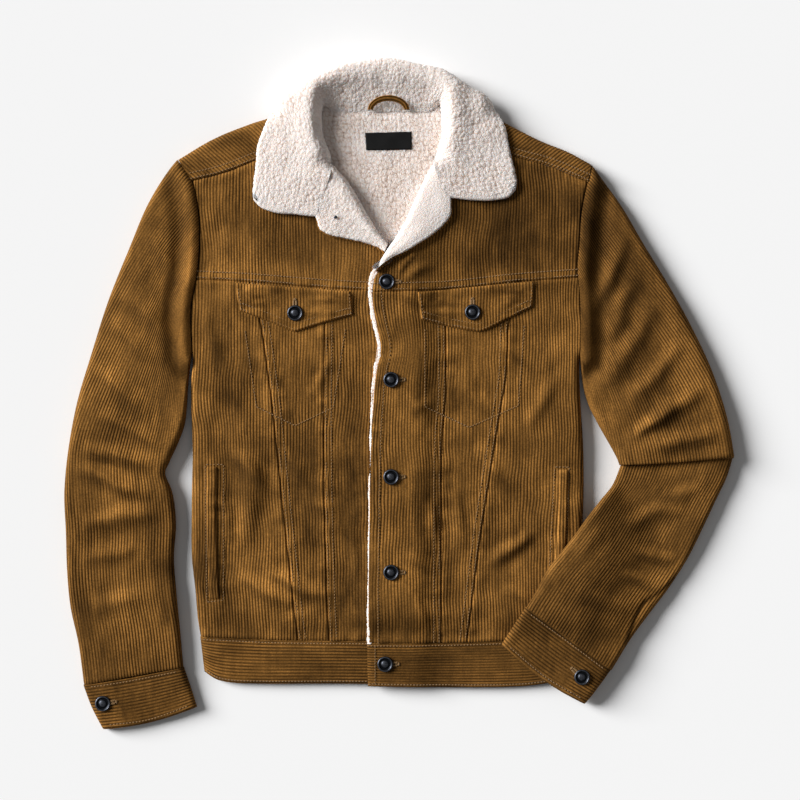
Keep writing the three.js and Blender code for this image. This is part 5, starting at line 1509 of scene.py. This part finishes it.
# ---------------------------------------------------------------- stitching
@dataclass
class Stitching:
    """All topstitching of one thread, joined into one mesh."""
    length: float = 2.9
    gap: float = 0.8
    thick: float = 0.7
    points: list[Array] = field(default_factory=list)
    faces: list[Array] = field(default_factory=list)

    def run(self, line: Sequence[Point], height: Height, offset: float = 0.0) -> None:
        """Sew along a line in plan, set off to its left by offset."""
        rough = smooth_curve(line, 200)
        total = curve_length(rough)
        count = max(2, int(total / (self.length + self.gap)))
        path = even_points(rough, count * 2 + 1)
        if offset:
            tangent = np.gradient(path, axis=0)
            tangent = tangent / np.linalg.norm(tangent, axis=1, keepdims=True)
            path = path + offset * np.stack([-tangent[:, 1], tangent[:, 0]], 1)
        middle = path[1::2]
        heading = path[2::2] - path[0:-1:2]
        heading = heading / np.linalg.norm(heading, axis=1, keepdims=True)
        z = height(middle[:, 0], middle[:, 1])
        ahead = middle + heading * 1.2
        slope = (height(ahead[:, 0], ahead[:, 1]) - z) / 1.2
        for centre, way, level, rise in zip(middle, heading, z, slope):
            self.stitch(centre, way, float(level), float(rise))

    def stitch(self, centre: Array, way: Array, level: float, rise: float) -> None:
        """Add one stitch: a spindle of thread that dips into the cloth at both ends."""
        side = np.array([-way[1], way[0]])
        half, thick = self.length / 2, self.thick
        ring = [(1, 0.0), (0.0, 0.75), (-1, 0.0), (0.0, -0.6)]
        rows = [(-1.0, 0.15, -0.35), (-0.6, 0.95, 0.0), (0.6, 0.95, 0.0), (1.0, 0.15, -0.35)]
        start = sum(len(p) for p in self.points)
        made = []
        for along, size, drop in rows:
            for a, b in ring:
                place = centre + way * half * along + side * thick * size * a * 0.75
                made.append((place[0], place[1], level + rise * half * along + drop + thick * size * b))
        self.points.append(np.array(made))
        quads = [(r * 4 + c, r * 4 + (c + 1) % 4, (r + 1) * 4 + (c + 1) % 4,
                  (r + 1) * 4 + c) for r in range(3) for c in range(4)]
        quads += [(3, 2, 1, 0), (12, 13, 14, 15)]
        self.faces.append(np.array(quads) + start)

    def build(self, name: str) -> bpy.types.Object:
        """Join the stitches into one piece."""
        vertices = np.concatenate(self.points) * MM
        faces = np.concatenate(self.faces)
        piece = object_from(name, vertices, faces, {"wear_and_recess_shade": np.zeros(len(vertices))}, THREAD)
        return settle(piece, Slot.CORDUROY)


def buttonhole(thread: Stitching, x: float, y: float, base: Height, heading: float = 0.0) -> None:
    """Sew the end of a buttonhole that shows past its button, on the side of the heading in degrees."""
    way = np.array([math.cos(math.radians(heading)), math.sin(math.radians(heading))])
    side = np.array([-way[1], way[0]])
    for step in range(7):
        for hand in (-1, 1):
            centre = np.array([x, y]) + way * (8.4 + 0.9 * step) + side * hand * 1.5
            thread.stitch(centre, side * 0.97 + way * 0.25, float(np.squeeze(base(centre[0],
                    centre[1]))) + 0.5, 0.0)
    for turn in (-50, -15, 20, 55):
        out = way * math.cos(math.radians(turn)) + side * math.sin(math.radians(turn))
        centre = np.array([x, y]) + way * 14.8 + 1.3 * out
        thread.stitch(centre, out, float(np.squeeze(base(centre[0], centre[1]))) + 0.5, 0.0)


def sew_all() -> None:
    """Sew the topstitching of fronts, shoulders, flaps, pockets and hem, and the buttonholes."""
    left, right = LAYERS.left, LAYERS.right
    body = Stitching()
    proud = 0.4
    for line, base in ((YOKE_SEAM_LEFT, left), (YOKE_SEAM_RIGHT, right)):
        body.run(line, raised_by(base, proud), 2.6)
        body.run(line, raised_by(base, proud), 9.6)

    def raised(x: Array, y: Array) -> Array:
        """Return the shoulder seams' height."""
        return LAYERS.front_top + 0.9 + pucker(x, y) + 0.5 * soft_noise(x, y, 34, 33)

    for line in (SHOULDER_SEAM_LEFT, SHOULDER_SEAM_RIGHT):
        body.run(line, raised, 2.6)
        body.run(line, raised, 9.0)
    for name, base, sign in (("left_outer", left, 1), ("left_inner", left, 1),
                             ("right_inner", right, -1), ("right_outer", right, -1)):
        body.run(SEAMS[name], raised_by(base, proud), 2.4 * sign)
        body.run(SEAMS[name], raised_by(base, proud), 8.6 * sign)
    body.run(SEAMS["right_edge"], raised_by(right, proud), 11)
    for line, base in ((BAG_LEFT, left), (BAG_RIGHT, right)):
        for first, second in zip(line[:-1], line[1:]):
            body.run([first, second], raised_by(base, proud))
    for line, base in (([(-224, -81), (-203, -81), (-203, -238), (-222, -240), (-224, -82)], left),
                       ([(180, -84), (197, -84), (194, -160), (188, -240), (172, -240), (180, -86)], right)):
        for first, second in zip(line[:-1], line[1:]):
            body.run([first, second], raised_by(base, proud))
    body.build("stitches_body")
    trim = Stitching()
    edges = (([(-184.4, 97), (-152, 85), (-127, 75), (-120, 73), (-112, 75.4), (-86, 83), (-53, 91.6)],
              left),
             ([(26, 86.4), (60, 78), (86, 73.6), (93, 73), (100, 74.8), (123, 86), (153.6, 100.6)], right))
    for line, base in edges:
        trim.run(line, raised_by(base, FLAP_RISE), 2.4)
        trim.run(line, raised_by(base, FLAP_RISE), 8.8)
    for line, base, offset in (([(-188.6, 127), (-184.6, 98)], left, 2.4),
                               ([(-55, 117), (-53.4, 93)], left, -2.4),
                               ([(22, 116), (25.8, 88)], right, 2.4),
                               ([(156.6, 129), (154, 102)], right, -2.4)):
        trim.run(line, raised_by(base, FLAP_RISE), offset)
    for top, bottom, band in ((HEM_TOP_LEFT, HEM_BOTTOM_LEFT, LAYERS.band_left),
                              (HEM_TOP_RIGHT, HEM_BOTTOM_RIGHT, LAYERS.band_right)):
        trim.run(top, raised_by(band, proud), -3.0)
        trim.run(bottom, raised_by(band, proud), 3.6)
    trim.run([(-27.5, -290), (-27.5, -336)], raised_by(LAYERS.band_right, proud))
    for x, y, base in ((-14, 130, right), (-9, 17, right), (-9, -95, right), (-9, -205, right),
                       (-16, -312, LAYERS.band_right)):
        buttonhole(trim, x, y, base)
    for x, y, base in ((-120, 94, raised_by(left, FLAP_RISE)), (85, 95, raised_by(right, FLAP_RISE))):
        buttonhole(trim, x, y, base, 90)
    trim.build("stitches_trim")


def sew_cuffs(left: Tube, right: Tube) -> None:
    """Sew both cuffs along their two long edges, and their buttonholes."""
    thread = Stitching()
    inset = 9.0
    for cuff, hand in ((left, 1), (right, -1)):
        start, end = cuff.sections[0], cuff.sections[-1]
        for section, offset in ((start, -3.4 * hand), (end, 3.8 * hand)):
            outer, inner = np.array(section.outer, float), np.array(section.inner, float)
            width = np.linalg.norm(inner - outer)
            line = [mix(outer, inner, inset / width), mix(outer, inner, 0.5),
                    mix(outer, inner, 1 - inset / width)]
            line[1] = line[1] + np.array([0.0, -section.sag])
            thread.run(line, cuff.on_top, offset)
    for node, cuff, heading in (("button_cuff_left", left, 8.0), ("button_cuff_right", right, 138.0)):
        low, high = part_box(node)
        buttonhole(thread, (low[0] + high[0]) / 2 / MM, (low[1] + high[1]) / 2 / MM, cuff.on_top, heading)
    thread.build("stitches_cuffs")


# ---------------------------------------------------------------- back
class Back:
    """The hidden back, seen only at the sides: the solids carry the cloth's finish."""

    def build(self) -> None:
        """Dress the back's solids."""
        for node in ("back_body", "back_yoke", "hem_back"):
            dress_solid(node, CORDUROY)


# ---------------------------------------------------------------- studio
@dataclass
class Studio:
    """A white paper floor, a soft key light from the upper left and the camera straight above."""
    camera_height: float = 2.2
    lens: float = 85.0

    def build(self) -> None:
        """Make floor, lights, world and camera."""
        mesh = bpy.data.meshes.new("floor")
        size = 6.0
        mesh.from_pydata([(-size, -size, 0), (size, -size, 0), (size, size, 0), (-size, size, 0)], [],
                         [(0, 1, 2, 3)])
        mesh.materials.append(PAPER.material())
        floor = bpy.data.objects.new("floor", mesh)
        floor.location.z = -0.0004
        bpy.context.scene.collection.objects.link(floor)
        self.sun("key", 26.0, 158.0, 30.0, 6.0)
        world = bpy.data.worlds.new("studio")
        world.use_nodes = True
        world.node_tree.nodes["Background"].inputs["Color"].default_value = (1.0, 1.0, 1.0, 1.0)
        world.node_tree.nodes["Background"].inputs["Strength"].default_value = 0.15
        bpy.context.scene.world = world
        data = bpy.data.cameras.new("camera")
        data.lens = self.lens
        data.sensor_width = 36.0
        camera = bpy.data.objects.new("camera", data)
        camera.location = (0.0012, -0.0064, self.camera_height)
        bpy.context.scene.collection.objects.link(camera)
        bpy.context.scene.camera = camera
        bpy.context.scene.view_settings.view_transform = "Standard"

    def sun(self, name: str, height: float, bearing: float, angle: float, energy: float) -> None:
        """Add a far, broad light.

        Args:
            name: the light's name.
            height: degrees over the floor.
            bearing: degrees from +X to the side it comes from, turning to +Y.
            angle: how many degrees wide it looks.
            energy: its strength in watts per square metre.
        """
        data = bpy.data.lights.new(name, "SUN")
        data.angle = math.radians(angle)
        data.energy = energy
        lamp = bpy.data.objects.new(name, data)
        lamp.location = (-2.0, 1.2, 1.0)
        lamp.rotation_euler = (0.0, math.radians(90 - height), math.radians(bearing))
        bpy.context.scene.collection.objects.link(lamp)


# ---------------------------------------------------------------- assembly
def main() -> None:
    """Build the jacket's sub-assemblies in the order in which they are laid down."""
    logging.basicConfig(level=logging.INFO, format="%(message)s")
    Studio().build()
    Back().build()
    Linings().build()
    Fronts().build()
    HemBand("cloth_hem_left", HEM_TOP_LEFT, HEM_BOTTOM_LEFT, LAYERS.band_left, -1).build("hem_left")
    HemBand("cloth_hem_right", HEM_TOP_RIGHT, HEM_BOTTOM_RIGHT, LAYERS.band_right, 1).build("hem_right")
    Shoulder("cloth_shoulder_left", [(-239.6, 247.6), (-202, 256.8), (-162, 272.6), (-100, 297)],
             [(-256, 272), (-220, 293), (-173, 313), (-148, 321), (-98, 343)], 138).build("shoulder_left")
    Shoulder("cloth_shoulder_right", [(61, 306), (128, 277.4), (176.7, 263.4), (218.2, 245.8)],
             [(61, 349), (118, 317), (164, 293.4), (196, 280.4), (223, 266)], 38).build("shoulder_right")
    Pockets().build()
    Tube("cloth_sleeve_left", SLEEVE_LEFT, LEFT_SLEEVE_FOLDS, ARMHOLE_LEFT).build(["floor"], "sleeve_left")
    cuff_left = Tube("cloth_cuff_left", CUFF_LEFT, wales_along=False, ends=(0.6, 2.0))
    cuff_left.build(["floor"], "cuff_left")
    Tube("cloth_sleeve_right_upper", SLEEVE_RIGHT, RIGHT_SLEEVE_FOLDS, ARMHOLE_RIGHT, ends=(1.2, 7.0),
         seed=44,
         head_painted_light=(-0.42, -0.3)).build(
        ["floor"], "sleeve_right_upper")
    Tube("cloth_sleeve_right_lower", FOREARM, FOREARM_FOLDS, rest=forearm_rest, seed=47,
         vent=[(321, -211), (300, -231), (284, -241), (275, -256), (264, -285)]).build(
        ["cloth_side_right"], "sleeve_right_lower")
    cuff_right = Tube("cloth_cuff_right", CUFF_RIGHT, rest=forearm_rest, wales_along=False, ends=(0.6, 2.0))
    cuff_right.build(["cloth_hem_right"], "cuff_right")
    Lapel("left", LAPEL_LEFT, LAYERS.left, 0.1, 2.6).build()
    Lapel("right", LAPEL_RIGHT, LAYERS.right, 0.7, 0.8).build()
    Collar().build()
    Buttons().build()
    Label().build()
    HangerLoop().build()
    sew_all()
    sew_cuffs(cuff_left, cuff_right)


if __name__ == "__main__":
    main()
